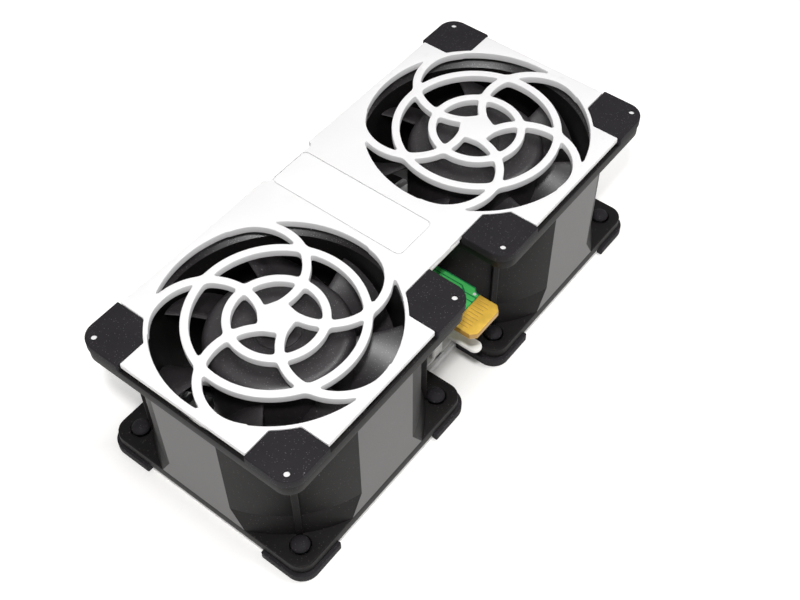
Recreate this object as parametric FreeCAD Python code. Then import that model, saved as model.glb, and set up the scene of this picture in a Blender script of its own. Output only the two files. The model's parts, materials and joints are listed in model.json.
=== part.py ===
import FreeCAD, Part
import math
import os

# Server fan module: two 60 mm axial fans held side by side between two moulded guard plates.
# Soft corner isolators sit between the plates and the fans, and a board with an edge-card tab
# stands in the gap between the fans. Air goes in at the top and out at the bottom.
#
# Millimetres. X runs along the module from fan a (-X) to fan b (+X), the connector looks along -Y,
# +Z is the intake side. The origin is the middle of the footprint, on the bottom isolators.

# ---- fans -------------------------------------------------------------------------------------
FAN_SIDE = 60.0
FAN_DEPTH = 38.0
FAN_GAP = 14.0
FLANGE = 3.2
FLANGE_CORNER_R = 4.0
HOLE_INSET = 5.0
HOLE_R = 1.8
PANEL_WALL = 1.7
DUCT_BULGE = 1.4
DUCT_FLARE = 1.2
FLARE_HEIGHT = 6.3
RIB_REACH = 1.6
RIB_WIDTH = 1.6

# ---- stator vanes and motor base at the exhaust ------------------------------------------------
VANES = 8
VANE_WIDTH = 1.4
VANE_HEIGHT = 8.0
VANE_TILT_ANGLE = 24.0
BASE_RISE = 1.5
BASE_THICKNESS = 2.0

# ---- impeller ---------------------------------------------------------------------------------
BLADES = 7
TIP_GAP = 0.7
BLADE_THICKNESS = 1.1
BLADE_TOP_DROP = 6.0
BLADE_RISE_HUB = 20.0
BLADE_RISE_TIP = 16.0
BLADE_WRAP_ANGLE = 46.0
BLADE_CAMBER_SHARE = 0.17
HUB_R = 17.0
HUB_WALL = 1.4
HUB_TOP_DROP = 2.0
HUB_SHOULDER = 3.4
HUB_SHOULDER_DROP = 2.6
HUB_SKIRT_DROP = 28.0
GROOVE_R = 5.2
GROOVE_WIDTH = 0.5
GROOVE_DEPTH = 0.3
LEADING_ANGLE_A = 107.0
LEADING_ANGLE_B = 92.0

# ---- motor inside the hub ---------------------------------------------------------------------
SHAFT_R = 1.5
BEARING_R = 4.0
BEARING_WIDTH = 4.0
TUBE_WALL = 1.0
CUP_WALL = 1.0
MAGNET_THICKNESS = 1.5
MAGNET_HEIGHT = 17.0
AIR_GAP = 0.35
POLES = 4
POLE_WIDTH = 3.0
POLE_SHOE = 1.6
POLE_GAP_DEGREES = 16.0
CORE_RING = 2.0
CORE_HEIGHT = 14.0
COIL_THICKNESS = 1.9
INSULATOR = 0.6
BUSH_WALL = 1.0
BUSH_FLANGE = 1.0
SPRING_WALL = 0.8
SPRING_HEIGHT = 1.0
CLIP_WALL = 0.9
CLIP_THICKNESS = 0.5
CLIP_OPENING = 1.2
SHAFT_END = 1.0
BEARING_SEAT = 2.0
MOTOR_BOARD_SIDE = 17.0
MOTOR_BOARD_THICKNESS = 1.2

# ---- guard plates -----------------------------------------------------------------------------
SHEET = 1.3
BAR_DEPTH = 2.0
PLATE_INSET = 0.5
OPENING_LIP = 0.55
RIM_WIDTH = 1.0
BACK_NOTCH_WIDTH = 16.0
BACK_NOTCH_DEPTH = 1.2
BACK_NOTCH_R = 0.8
BOSS_R = 3.5
PIN_CLEARANCE = 0.2
PIN_LENGTH = 2.5

# ---- spiral grille ----------------------------------------------------------------------------
ARMS = 5
ARM_INNER_R = 11.9
ARM_WIDTH = 2.05
ARM_START_ANGLE = 136.3
ARM_SWEEP_ANGLE = 190.0
RING_WIDTH = 1.95
OUTER_RING_R = 20.85
INNER_RING_R = 11.9

# ---- corner isolators -------------------------------------------------------------------------
PAD_HEIGHT = 2.5
PAD_SPAN = 12.1
PAD_CORNER_R = 4.5
PAD_PROUD_TOP = 0.3
PAD_PROUD_BOTTOM = 0.75
NOTCH_WIDTH = 12.0
TONGUE = 0.8
TONGUE_INSET = 1.2
STEM_CLEARANCE = 0.1
HEAD_R = 2.3
HEAD_HEIGHT = 1.5
PIN_HOLE_R = 0.7
PIN_HOLE_INSET_X = 2.2
PIN_HOLE_INSET_Y = 2.7

# ---- connector board, its carrier and the label ------------------------------------------------
BOARD_TOP = 27.0
BOARD_THICKNESS = 1.6
BOARD_WIDTH = 13.5
BOARD_BACK = 20.0
BOARD_SHOULDER = 22.3
TAB_WIDTH = 11.2
TAB_CORNER = 1.4
TAB_BEVEL = 0.4
FINGERS = 10
FINGER_WIDTH = 0.68
FINGER_PITCH = 1.03
FINGER_LENGTH = 5.6
FINGER_THICKNESS = 0.1
CARRIER_WIDTH = 12.0
CARRIER_SHELF = 1.4
CARRIER_WEB = 4.0
PEG_R = 1.5
PEG_PITCH = 24.0
GUIDE_TOP = 15.6
GUIDE_THICKNESS = 1.2
GUIDE_WIDTH = 3.5
GUIDE_SETBACK = 0.8
SCREW_PITCH = 24.0
SCREW_R = 1.0
SCREW_HEAD_R = 2.0
SCREW_HEAD_HEIGHT = 1.3
SCREW_LENGTH = 8.0
LABEL_X0 = -7.0
LABEL_X1 = 5.0
LABEL_Y0 = -10.3
LABEL_Y1 = 28.0
LABEL_R = 1.3
LABEL_THICKNESS = 0.15
LABEL_RECESS = 0.2

# ---- clearances -------------------------------------------------------------------------------
SEAT = 0.1
MOTOR_FIT = 0.05
RUNNING_FIT = 0.03

# ---- places worked out from the sizes above ----------------------------------------------------
FAN_X = (FAN_SIDE + FAN_GAP) / 2
HALF = FAN_SIDE / 2
FAN_BOTTOM = PAD_HEIGHT
FAN_TOP = FAN_BOTTOM + FAN_DEPTH
HEIGHT = FAN_TOP + PAD_HEIGHT
BORE_R = HALF - PANEL_WALL
DUCT_R = HALF + DUCT_BULGE
HOLE_AT = HALF - HOLE_INSET
OPENING_R = BORE_R - OPENING_LIP
ARM_OFFSET = OPENING_R - ARM_INNER_R
CENTRE_DISC_R = ARM_OFFSET - ARM_INNER_R
PAD_EDGE = HALF - PAD_SPAN
GAP_REACH = HALF + (FAN_GAP - NOTCH_WIDTH) / 2
PAD_ARC_R = OPENING_R + RIM_WIDTH
STEM_R = HOLE_R - STEM_CLEARANCE
HUB_TOP = FAN_TOP - HUB_TOP_DROP
HUB_BOTTOM = HUB_TOP - HUB_SKIRT_DROP + HUB_SHOULDER_DROP
TIP_R = BORE_R - TIP_GAP
BASE_BOTTOM = FAN_BOTTOM + BASE_RISE
BASE_TOP = BASE_BOTTOM + BASE_THICKNESS
CUP_R = HUB_R - HUB_WALL - MOTOR_FIT
CUP_TOP = HUB_TOP - HUB_WALL
CUP_BOTTOM = HUB_BOTTOM + MOTOR_FIT
MAGNET_R = CUP_R - CUP_WALL - MOTOR_FIT
CORE_R = MAGNET_R - MAGNET_THICKNESS - AIR_GAP
TUBE_BORE_R = BEARING_R + MOTOR_FIT
TUBE_R = TUBE_BORE_R + TUBE_WALL
CORE_MIDDLE = (CUP_BOTTOM + CUP_TOP) / 2
CORE_BORE_R = TUBE_R + MOTOR_FIT
CORE_RING_R = CORE_BORE_R + CORE_RING
SHOE_R = CORE_R - POLE_SHOE
TUBE_TOP = CORE_MIDDLE + CORE_HEIGHT / 2 + BEARING_WIDTH / 2
LOWER_BEARING = BASE_TOP + BEARING_SEAT
BUSH_R = SHAFT_R + BUSH_WALL
TAB_TIP = HALF + PAD_PROUD_BOTTOM
CARRIER_FRONT = PAD_EDGE - RIM_WIDTH - SEAT

FANS = {"a": -FAN_X, "b": FAN_X}
TURN = {"a": 1, "b": -1}
LEADING_ANGLE = {"a": LEADING_ANGLE_A, "b": LEADING_ANGLE_B}
# Each isolator by its fan and the side of the fan it is on. The two corners of each plate that
# have none, on the +Y side next to the gap, carry the plate's locating pins.
ISOLATORS = {
    "a_outer_rear": ("a", -1, 1),
    "a_outer_front": ("a", -1, -1),
    "a_inner_front": ("a", 1, -1),
    "b_inner_front": ("b", -1, -1),
    "b_outer_front": ("b", 1, -1),
    "b_outer_rear": ("b", 1, 1),
}
PINNED_CORNERS = {"a": 1, "b": -1}


# ---- basic forms ------------------------------------------------------------------------------
def point(x, y, z=0.0):
    return FreeCAD.Vector(x, y, z)


def polar(radius, degrees):
    angle = math.radians(degrees)
    return radius * math.cos(angle), radius * math.sin(angle)


def cylinder(radius, z0, z1, x=0.0, y=0.0):
    return Part.makeCylinder(radius, z1 - z0, point(x, y, z0))


def ring(outer, inner, z0, z1, x=0.0, y=0.0):
    return cylinder(outer, z0, z1, x, y).cut(cylinder(inner, z0, z1, x, y))


def cone(r0, r1, z0, z1, x=0.0, y=0.0):
    return Part.makeCone(r0, r1, z1 - z0, point(x, y, z0))


def slab(x0, x1, y0, y1, z0, z1):
    return Part.makeBox(x1 - x0, y1 - y0, z1 - z0, point(x0, y0, z0))


def line(start, end):
    return Part.LineSegment(point(*start), point(*end)).toShape()


def arc(start, middle, end):
    return Part.Arc(point(*start), point(*middle), point(*end)).toShape()


def prism(edges, z0, z1):
    """A flat outline in the XY plane, raised from z0 to z1."""
    face = Part.Face(Part.Wire(Part.__sortEdges__(edges)))
    face.translate(point(0, 0, z0))
    return face.extrude(point(0, 0, z1 - z0))


def polygon(corners, z0, z1):
    wire = Part.makePolygon([point(x, y, z0) for x, y in corners + corners[:1]])
    return Part.Face(wire).extrude(point(0, 0, z1 - z0))


def rounded_slab(x0, x1, y0, y1, radius, z0, z1):
    solid = slab(x0, x1, y0, y1, z0, z1)
    upright = [e for e in solid.Edges if abs(e.tangentAt(e.FirstParameter).z) > 0.5]
    return solid.makeFillet(radius, upright)


def joined(shapes):
    return shapes[0].fuse(shapes[1:]).removeSplitter()


def cleaned(shape):
    """The one solid of a finished piece, with faces that a boolean split joined again."""
    solids = shape.removeSplitter().Solids
    return solids[0] if len(solids) == 1 else Part.makeCompound(solids)


def upside_down(shape):
    """The same moulding turned over about the Y axis, onto the bottom of the module."""
    turned = shape.copy()
    turned.rotate(point(0, 0, HEIGHT / 2), point(0, 1, 0), 180)
    return turned


# ---- guard plates -----------------------------------------------------------------------------
def pad_outline(fan, side_x, side_y, edge, arc_r, proud, corner_r):
    """The edges of an isolator's outline: two straight inner sides, the arc that follows the
    plate's opening, and a rounded outer corner. On the gap side it reaches to the notch."""
    faces_gap = side_x == PINNED_CORNERS[fan]
    reach_x = (GAP_REACH if faces_gap else HALF + proud)
    reach_y = HALF + proud
    diagonal = arc_r * math.sqrt(0.5)
    along = math.sqrt(arc_r ** 2 - edge ** 2)
    cut = corner_r * (1 - math.sqrt(0.5))

    def at(u, v):
        return FANS[fan] + side_x * u, side_y * v

    return [
        arc(at(edge, along), at(diagonal, diagonal), at(along, edge)),
        line(at(along, edge), at(reach_x, edge)),
        line(at(reach_x, edge), at(reach_x, reach_y - corner_r)),
        arc(at(reach_x, reach_y - corner_r), at(reach_x - cut, reach_y - cut), at(reach_x - corner_r, reach_y)),
        line(at(reach_x - corner_r, reach_y), at(edge, reach_y)),
        line(at(edge, reach_y), at(edge, along)),
    ]


def tongue(fan, side_x, side_y, grow=0.0):
    """The corner of a plate that an isolator is moulded round. With grow it is the space for it."""
    faces_gap = side_x == PINNED_CORNERS[fan]
    inner = PAD_EDGE - TONGUE_INSET - grow
    far_x = (GAP_REACH if faces_gap else HALF) - TONGUE_INSET + grow
    far_y = HALF - TONGUE_INSET + grow
    chamfer = PAD_CORNER_R - TONGUE_INSET
    corners = [
        (inner, inner),
        (far_x, inner),
        (far_x, far_y - chamfer),
        (far_x - chamfer, far_y),
        (inner, far_y),
    ]
    placed = [(FANS[fan] + side_x * u, side_y * v) for u, v in corners]
    underside = HEIGHT - SHEET
    return polygon(placed, underside - grow, underside + TONGUE + grow)


def spiral_arm(turn, index):
    """One arm of the grille: a round band that starts inside the rim where its inner edge touches
    the opening, and winds in to the centre."""
    angle = ARM_START_ANGLE + index * 360.0 / ARMS
    inner_r = ARM_INNER_R
    outer_r = ARM_INNER_R + ARM_WIDTH
    centre = polar(ARM_OFFSET, angle)

    def at(radius, degrees):
        x, y = polar(radius, degrees)
        return turn * (centre[0] + x), centre[1] + y

    middle = angle - ARM_SWEEP_ANGLE / 2
    end = angle - ARM_SWEEP_ANGLE
    return [
        arc(at(outer_r, angle), at(outer_r, middle), at(outer_r, end)),
        line(at(outer_r, end), at(inner_r, end)),
        arc(at(inner_r, end), at(inner_r, middle), at(inner_r, angle)),
        line(at(inner_r, angle), at(outer_r, angle)),
    ]


def grille(turn, x):
    """The spiral guard of one fan: five arms, two rings and a centre disc, clipped to the rim."""
    z0 = HEIGHT - BAR_DEPTH
    parts = [prism(spiral_arm(turn, index), z0, HEIGHT) for index in range(ARMS)]
    parts.append(ring(OUTER_RING_R, OUTER_RING_R - RING_WIDTH, z0, HEIGHT))
    parts.append(ring(INNER_RING_R, INNER_RING_R - RING_WIDTH, z0, HEIGHT))
    parts.append(cylinder(CENTRE_DISC_R, z0, HEIGHT))
    guard = joined(parts).common(cylinder(OPENING_R + RIM_WIDTH / 2, z0, HEIGHT))
    guard.translate(point(x, 0, 0))
    return guard


def plate_body():
    """The moulded plate without grilles: sheet, tongues, rims, the rib along the connector notch
    and the two bosses with locating pins."""
    half_x = FAN_X + HALF - PLATE_INSET
    half_y = HALF - PLATE_INSET
    underside = HEIGHT - SHEET
    body = slab(-half_x, half_x, -half_y, half_y, underside, HEIGHT)
    through = (underside - BAR_DEPTH, HEIGHT + SHEET)
    for fan, side_x, side_y in ISOLATORS.values():
        outline = pad_outline(fan, side_x, side_y, PAD_EDGE - SEAT, PAD_ARC_R - SEAT, SHEET, SHEET)
        body = body.cut(prism(outline, *through))
    notch = NOTCH_WIDTH / 2 + SEAT
    body = body.cut(slab(-notch, notch, -HALF, -PAD_EDGE, *through))
    back = half_y - BACK_NOTCH_DEPTH
    back_half = BACK_NOTCH_WIDTH / 2
    body = body.cut(rounded_slab(-back_half, back_half, back, HALF + SHEET, BACK_NOTCH_R, *through))
    adds = [tongue(*place) for place in ISOLATORS.values()]
    adds.append(slab(-notch, notch, -PAD_EDGE, -PAD_EDGE + RIM_WIDTH, HEIGHT - BAR_DEPTH, HEIGHT))
    for fan, x in FANS.items():
        adds.append(cylinder(PAD_ARC_R - SEAT, HEIGHT - BAR_DEPTH, HEIGHT, x))
        boss_x = x + PINNED_CORNERS[fan] * HOLE_AT
        adds.append(cylinder(BOSS_R, FAN_TOP, HEIGHT, boss_x, HOLE_AT))
        adds.append(cylinder(HOLE_R - PIN_CLEARANCE, FAN_TOP - PIN_LENGTH, HEIGHT, boss_x, HOLE_AT))
    body = body.fuse(adds)
    for x in FANS.values():
        body = body.cut(cylinder(OPENING_R, *through, x))
    return body


def top_guard_plate():
    body = plate_body()
    body = body.fuse([grille(TURN[fan], x) for fan, x in FANS.items()])
    recess = rounded_slab(
        LABEL_X0 - SEAT,
        LABEL_X1 + SEAT,
        LABEL_Y0 - SEAT,
        LABEL_Y1 + SEAT,
        LABEL_R,
        HEIGHT - LABEL_RECESS,
        HEIGHT,
    )
    return cleaned(body.cut(recess))


def bottom_guard_plate():
    body = plate_body()
    body = body.fuse([grille(TURN[fan], x) for fan, x in FANS.items()])
    plate = upside_down(body)
    for y in (-PEG_PITCH / 2, PEG_PITCH / 2):
        plate = plate.cut(cylinder(PEG_R + MOTOR_FIT, 0, SHEET, 0, y))
    return cleaned(plate)


def label():
    floor = HEIGHT - LABEL_RECESS
    return rounded_slab(LABEL_X0, LABEL_X1, LABEL_Y0, LABEL_Y1, LABEL_R, floor, floor + LABEL_THICKNESS)


# ---- isolators --------------------------------------------------------------------------------
def isolator(fan, side_x, side_y, proud):
    """A soft corner pad round the plate's tongue, with a stem pulled through the flange's hole
    and a head behind the flange."""
    outline = pad_outline(fan, side_x, side_y, PAD_EDGE, PAD_ARC_R, proud, PAD_CORNER_R)
    pad = prism(outline, FAN_TOP, HEIGHT).cut(tongue(fan, side_x, side_y, SEAT))
    pin_x = FANS[fan] + side_x * (HALF - PIN_HOLE_INSET_X)
    pin_y = side_y * (HALF - PIN_HOLE_INSET_Y)
    pad = pad.cut(cylinder(PIN_HOLE_R, HEIGHT - SHEET + TONGUE, HEIGHT, pin_x, pin_y))
    x = FANS[fan] + side_x * HOLE_AT
    y = side_y * HOLE_AT
    behind = FAN_TOP - FLANGE
    stem = cylinder(STEM_R, behind, FAN_TOP, x, y)
    head = cone(HEAD_R / 2, HEAD_R, behind - HEAD_HEIGHT, behind, x, y)
    return cleaned(pad.fuse([stem, head]))


def bottom_isolator(fan, side_x, side_y):
    other = {"a": "b", "b": "a"}[fan]
    return upside_down(isolator(other, -side_x, side_y, PAD_PROUD_BOTTOM))


# ---- fan housing ------------------------------------------------------------------------------
def duct_wall():
    """The round duct between the flanges, flared towards the exhaust."""
    flare_top = FAN_BOTTOM + FLANGE + FLARE_HEIGHT
    profile = [
        (BORE_R, FAN_BOTTOM),
        (DUCT_R + DUCT_FLARE, FAN_BOTTOM),
        (DUCT_R + DUCT_FLARE, FAN_BOTTOM + FLANGE),
        (DUCT_R, flare_top),
        (DUCT_R, FAN_TOP),
        (BORE_R, FAN_TOP),
    ]
    wire = Part.makePolygon([point(x, 0, z) for x, z in profile + profile[:1]])
    return Part.Face(wire).revolve(point(0, 0, 0), point(0, 0, 1), 360)


def stator_vanes():
    """Tilted blades that hold the motor base in the exhaust and straighten the air."""
    middle = FAN_BOTTOM + VANE_HEIGHT / 2
    half = VANE_WIDTH / 2
    vanes = []
    for index in range(VANES):
        vane = slab(HUB_R - HUB_WALL, BORE_R + 2 * HUB_WALL, -half, half, -VANE_HEIGHT, VANE_HEIGHT)
        vane.rotate(point(0, 0, 0), point(1, 0, 0), VANE_TILT_ANGLE)
        vane.translate(point(0, 0, middle))
        vane.rotate(point(0, 0, 0), point(0, 0, 1), (index + 0.5) * 360.0 / VANES)
        vanes.append(vane)
    room = ring(BORE_R + HUB_WALL, HUB_R - HUB_WALL / 2, BASE_BOTTOM, FAN_BOTTOM + VANE_HEIGHT)
    return [vane.common(room) for vane in vanes]


def fan_housing(x):
    top_flange = rounded_slab(-HALF, HALF, -HALF, HALF, FLANGE_CORNER_R, FAN_TOP - FLANGE, FAN_TOP)
    bottom_flange = rounded_slab(-HALF, HALF, -HALF, HALF, FLANGE_CORNER_R, FAN_BOTTOM, FAN_BOTTOM + FLANGE)
    square = slab(-HALF, HALF, -HALF, HALF, FAN_BOTTOM, FAN_TOP)
    adds = [top_flange, bottom_flange]
    for quarter in range(4):
        rib = slab(BORE_R + HUB_WALL, DUCT_R + RIB_REACH, -RIB_WIDTH / 2, RIB_WIDTH / 2, FAN_BOTTOM, FAN_TOP)
        rib.rotate(point(0, 0, 0), point(0, 0, 1), 45 + 90 * quarter)
        adds.append(rib)
    body = duct_wall().common(square).fuse(adds)
    body = body.cut(cylinder(BORE_R, FAN_BOTTOM, FAN_TOP))
    base = cylinder(HUB_R, BASE_BOTTOM, BASE_TOP).cut(cylinder(TUBE_R + MOTOR_FIT, BASE_BOTTOM, BASE_TOP))
    body = body.fuse([base] + stator_vanes())
    for side_x in (-1, 1):
        for side_y in (-1, 1):
            body = body.cut(cylinder(HOLE_R, FAN_BOTTOM, FAN_TOP, side_x * HOLE_AT, side_y * HOLE_AT))
    body.translate(point(x, 0, 0))
    return cleaned(body)


# ---- impeller ---------------------------------------------------------------------------------
def blade_section(distance, rise):
    """One blade's section in the upright plane at this distance from the axis: two arcs, one
    blade thickness apart, flat at the leading edge and steeper towards the trailing edge."""
    reach = distance * math.tan(math.radians(BLADE_WRAP_ANGLE / 2))
    top = FAN_TOP - BLADE_TOP_DROP
    bottom = top - rise
    middle_z = (top + bottom) / 2 + BLADE_CAMBER_SHARE * rise
    lead = point(distance, reach, top)
    bend = point(distance, 0, middle_z)
    trail = point(distance, -reach, bottom)
    lower = point(0, 0, -BLADE_THICKNESS)
    upper_edge = Part.Arc(lead, bend, trail).toShape()
    lower_edge = Part.Arc(trail + lower, bend + lower, lead + lower).toShape()
    front = Part.LineSegment(lead + lower, lead).toShape()
    back = Part.LineSegment(trail, trail + lower).toShape()
    return Part.Wire([upper_edge, back, lower_edge, front])


def blade():
    """A twisted blade from inside the hub's wall to the tip, lofted between two sections."""
    root = blade_section(HUB_R - HUB_WALL, BLADE_RISE_HUB)
    tip = blade_section(BORE_R, BLADE_RISE_TIP)
    return Part.makeLoft([root, tip], True, True)


def hub_shell():
    """The hub's cup: wall, stepped shoulder and top with a shallow round groove."""
    shoulder_z = HUB_TOP - HUB_SHOULDER_DROP
    bend_r = HUB_R - HUB_SHOULDER / 3
    bend_z = HUB_TOP - HUB_SHOULDER_DROP / 3
    profile = [
        (0, CUP_TOP),
        (HUB_R - HUB_WALL, CUP_TOP),
        (HUB_R - HUB_WALL, HUB_BOTTOM),
        (HUB_R, HUB_BOTTOM),
        (HUB_R, shoulder_z),
        (bend_r, bend_z),
        (HUB_R - HUB_SHOULDER, HUB_TOP),
        (GROOVE_R + GROOVE_WIDTH, HUB_TOP),
        (GROOVE_R + GROOVE_WIDTH / 2, HUB_TOP - GROOVE_DEPTH),
        (GROOVE_R, HUB_TOP),
        (0, HUB_TOP),
    ]
    wire = Part.makePolygon([point(x, 0, z) for x, z in profile + profile[:1]])
    return Part.Face(wire).revolve(point(0, 0, 0), point(0, 0, 1), 360)


def impeller(x, leading_angle):
    room = ring(TIP_R, HUB_R - HUB_WALL / 2, HUB_BOTTOM, HUB_TOP)
    trimmed = blade().common(room)
    first = leading_angle - BLADE_WRAP_ANGLE / 2
    blades = []
    for index in range(BLADES):
        copy = trimmed.copy()
        copy.rotate(point(0, 0, 0), point(0, 0, 1), first + index * 360.0 / BLADES)
        blades.append(copy)
    body = hub_shell().fuse(blades)
    body.translate(point(x, 0, 0))
    return cleaned(body)


# ---- motor ------------------------------------------------------------------------------------
def rotor_cup(x):
    """The steel cup pressed into the hub, with a hole for the shaft's bush."""
    shell = ring(CUP_R, CUP_R - CUP_WALL, CUP_BOTTOM, CUP_TOP, x)
    lid = ring(CUP_R, BUSH_R + MOTOR_FIT, CUP_TOP - CUP_WALL, CUP_TOP, x)
    return cleaned(joined([shell, lid]))


def shaft_bush(x):
    """The bush that holds the shaft in the cup: a neck through the lid and a flange under it."""
    under_lid = CUP_TOP - CUP_WALL
    neck = cylinder(BUSH_R, under_lid, CUP_TOP, x)
    flange = cylinder(BUSH_R + BUSH_FLANGE, TUBE_TOP + SPRING_HEIGHT, under_lid, x)
    bore = cylinder(SHAFT_R + RUNNING_FIT, TUBE_TOP, CUP_TOP, x)
    return cleaned(joined([neck, flange]).cut(bore))


def preload_spring(x):
    """The wave washer between the upper bearing and the bush."""
    inner = SHAFT_R + RUNNING_FIT
    return ring(inner + SPRING_WALL, inner, TUBE_TOP + MOTOR_FIT, TUBE_TOP + SPRING_HEIGHT, x)


def shaft_clip(x):
    """The open ring under the lower bearing that keeps the rotor from lifting out."""
    top = LOWER_BEARING - MOTOR_FIT
    inner = SHAFT_R + RUNNING_FIT
    clip = ring(inner + CLIP_WALL, inner, top - CLIP_THICKNESS, top, x)
    opening = slab(x, x + 2 * BEARING_R, -CLIP_OPENING / 2, CLIP_OPENING / 2, top - CLIP_THICKNESS, top)
    return cleaned(clip.cut(opening))


def magnet_ring(x):
    z0 = CORE_MIDDLE - MAGNET_HEIGHT / 2
    return ring(MAGNET_R, MAGNET_R - MAGNET_THICKNESS, z0, z0 + MAGNET_HEIGHT, x)


def shaft(x):
    return cylinder(SHAFT_R, LOWER_BEARING - SHAFT_END, CUP_TOP, x)


def bearing_tube(x):
    return ring(TUBE_R, TUBE_BORE_R, BASE_BOTTOM, TUBE_TOP, x)


def bearing(x, z0):
    return ring(BEARING_R, SHAFT_R + RUNNING_FIT, z0, z0 + BEARING_WIDTH, x)


def stator_core(x):
    """Laminated core: a ring on the bearing tube, and poles that end in round shoes."""
    z0 = CORE_MIDDLE - CORE_HEIGHT / 2
    z1 = z0 + CORE_HEIGHT
    parts = [ring(CORE_RING_R, CORE_BORE_R, z0, z1)]
    half_span = 180.0 / POLES - POLE_GAP_DEGREES / 2
    half = POLE_WIDTH / 2
    for index in range(POLES):
        turn = 45 + index * 360.0 / POLES
        pole = slab(CORE_BORE_R + CORE_RING / 2, CORE_R - POLE_SHOE / 2, -half, half, z0, z1)
        shoe = prism(
            [
                arc(polar(CORE_R, -half_span), polar(CORE_R, 0), polar(CORE_R, half_span)),
                line(polar(CORE_R, half_span), polar(SHOE_R, half_span)),
                arc(polar(SHOE_R, half_span), polar(SHOE_R, 0), polar(SHOE_R, -half_span)),
                line(polar(SHOE_R, -half_span), polar(CORE_R, -half_span)),
            ],
            z0,
            z1,
        )
        for piece in (pole, shoe):
            piece.rotate(point(0, 0, 0), point(0, 0, 1), turn)
            parts.append(piece)
    core = joined(parts)
    core.translate(point(x, 0, 0))
    return cleaned(core)


def stator_insulator(x):
    """Plastic covers on both ends of the core, between its poles and their windings."""
    half = POLE_WIDTH / 2
    covers = []
    for z0 in (CORE_MIDDLE - CORE_HEIGHT / 2 - INSULATOR, CORE_MIDDLE + CORE_HEIGHT / 2):
        z1 = z0 + INSULATOR
        parts = [ring(CORE_RING_R, CORE_BORE_R, z0, z1)]
        for index in range(POLES):
            pole = slab(CORE_BORE_R + CORE_RING / 2, SHOE_R - MOTOR_FIT, -half, half, z0, z1)
            pole.rotate(point(0, 0, 0), point(0, 0, 1), 45 + index * 360.0 / POLES)
            parts.append(pole)
        cover = joined(parts)
        cover.translate(point(x, 0, 0))
        covers.append(cover)
    return Part.makeCompound(covers)


def stator_coils(x):
    """One winding round each insulated pole of the core."""
    half_width = POLE_WIDTH / 2 + COIL_THICKNESS
    start = CORE_RING_R + MOTOR_FIT
    end = math.sqrt((SHOE_R - MOTOR_FIT) ** 2 - half_width ** 2)
    z0 = CORE_MIDDLE - CORE_HEIGHT / 2 - INSULATOR
    z1 = CORE_MIDDLE + CORE_HEIGHT / 2 + INSULATOR
    coils = []
    for index in range(POLES):
        coil = slab(start, end, -half_width, half_width, z0 - COIL_THICKNESS, z1 + COIL_THICKNESS)
        side = POLE_WIDTH / 2 + MOTOR_FIT
        coil = coil.cut(slab(start, end, -side, side, z0 - MOTOR_FIT, z1 + MOTOR_FIT))
        coil.rotate(point(0, 0, 0), point(0, 0, 1), 45 + index * 360.0 / POLES)
        coil.translate(point(x, 0, 0))
        coils.append(coil)
    return Part.makeCompound(coils)


def motor_board(x):
    half = MOTOR_BOARD_SIDE / 2
    board = slab(x - half, x + half, -half, half, BASE_TOP, BASE_TOP + MOTOR_BOARD_THICKNESS)
    return board.cut(cylinder(TUBE_R + MOTOR_FIT, BASE_TOP, BASE_TOP + MOTOR_BOARD_THICKNESS, x))


# ---- connector board --------------------------------------------------------------------------
def connector_board():
    """The circuit board: a wide part between the fans, and the narrower edge-card tab, bevelled
    at its tip so that it finds its socket."""
    half = BOARD_WIDTH / 2
    tab = TAB_WIDTH / 2
    corners = [
        (-half, BOARD_BACK),
        (-half, -BOARD_SHOULDER),
        (-tab, -BOARD_SHOULDER - (half - tab)),
        (-tab, -TAB_TIP + TAB_CORNER),
        (-tab + TAB_CORNER, -TAB_TIP),
        (tab - TAB_CORNER, -TAB_TIP),
        (tab, -TAB_TIP + TAB_CORNER),
        (tab, -BOARD_SHOULDER - (half - tab)),
        (half, -BOARD_SHOULDER),
        (half, BOARD_BACK),
    ]
    bottom = BOARD_TOP - BOARD_THICKNESS
    board = polygon(corners, bottom, BOARD_TOP)
    tip = [e for e in board.Edges if e.BoundBox.YMax < -TAB_TIP + TAB_BEVEL and e.BoundBox.ZLength < TAB_BEVEL]
    board = board.makeChamfer(TAB_BEVEL, tip)
    for y in screw_places():
        board = board.cut(cylinder(SCREW_R + SEAT, bottom, BOARD_TOP, 0, y))
    return cleaned(board)


def contact_fingers():
    """Gold contacts on both faces of the tab."""
    end = -TAB_TIP + TAB_BEVEL + FINGER_THICKNESS
    bottom = BOARD_TOP - BOARD_THICKNESS
    fingers = []
    for index in range(FINGERS):
        x = (index - (FINGERS - 1) / 2) * FINGER_PITCH
        x0 = x - FINGER_WIDTH / 2
        x1 = x + FINGER_WIDTH / 2
        fingers.append(slab(x0, x1, end, end + FINGER_LENGTH, BOARD_TOP, BOARD_TOP + FINGER_THICKNESS))
        fingers.append(slab(x0, x1, end, end + FINGER_LENGTH, bottom - FINGER_THICKNESS, bottom))
    return Part.makeCompound(fingers)


def screw_places():
    return (-SCREW_PITCH / 2, SCREW_PITCH / 2)


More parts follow.
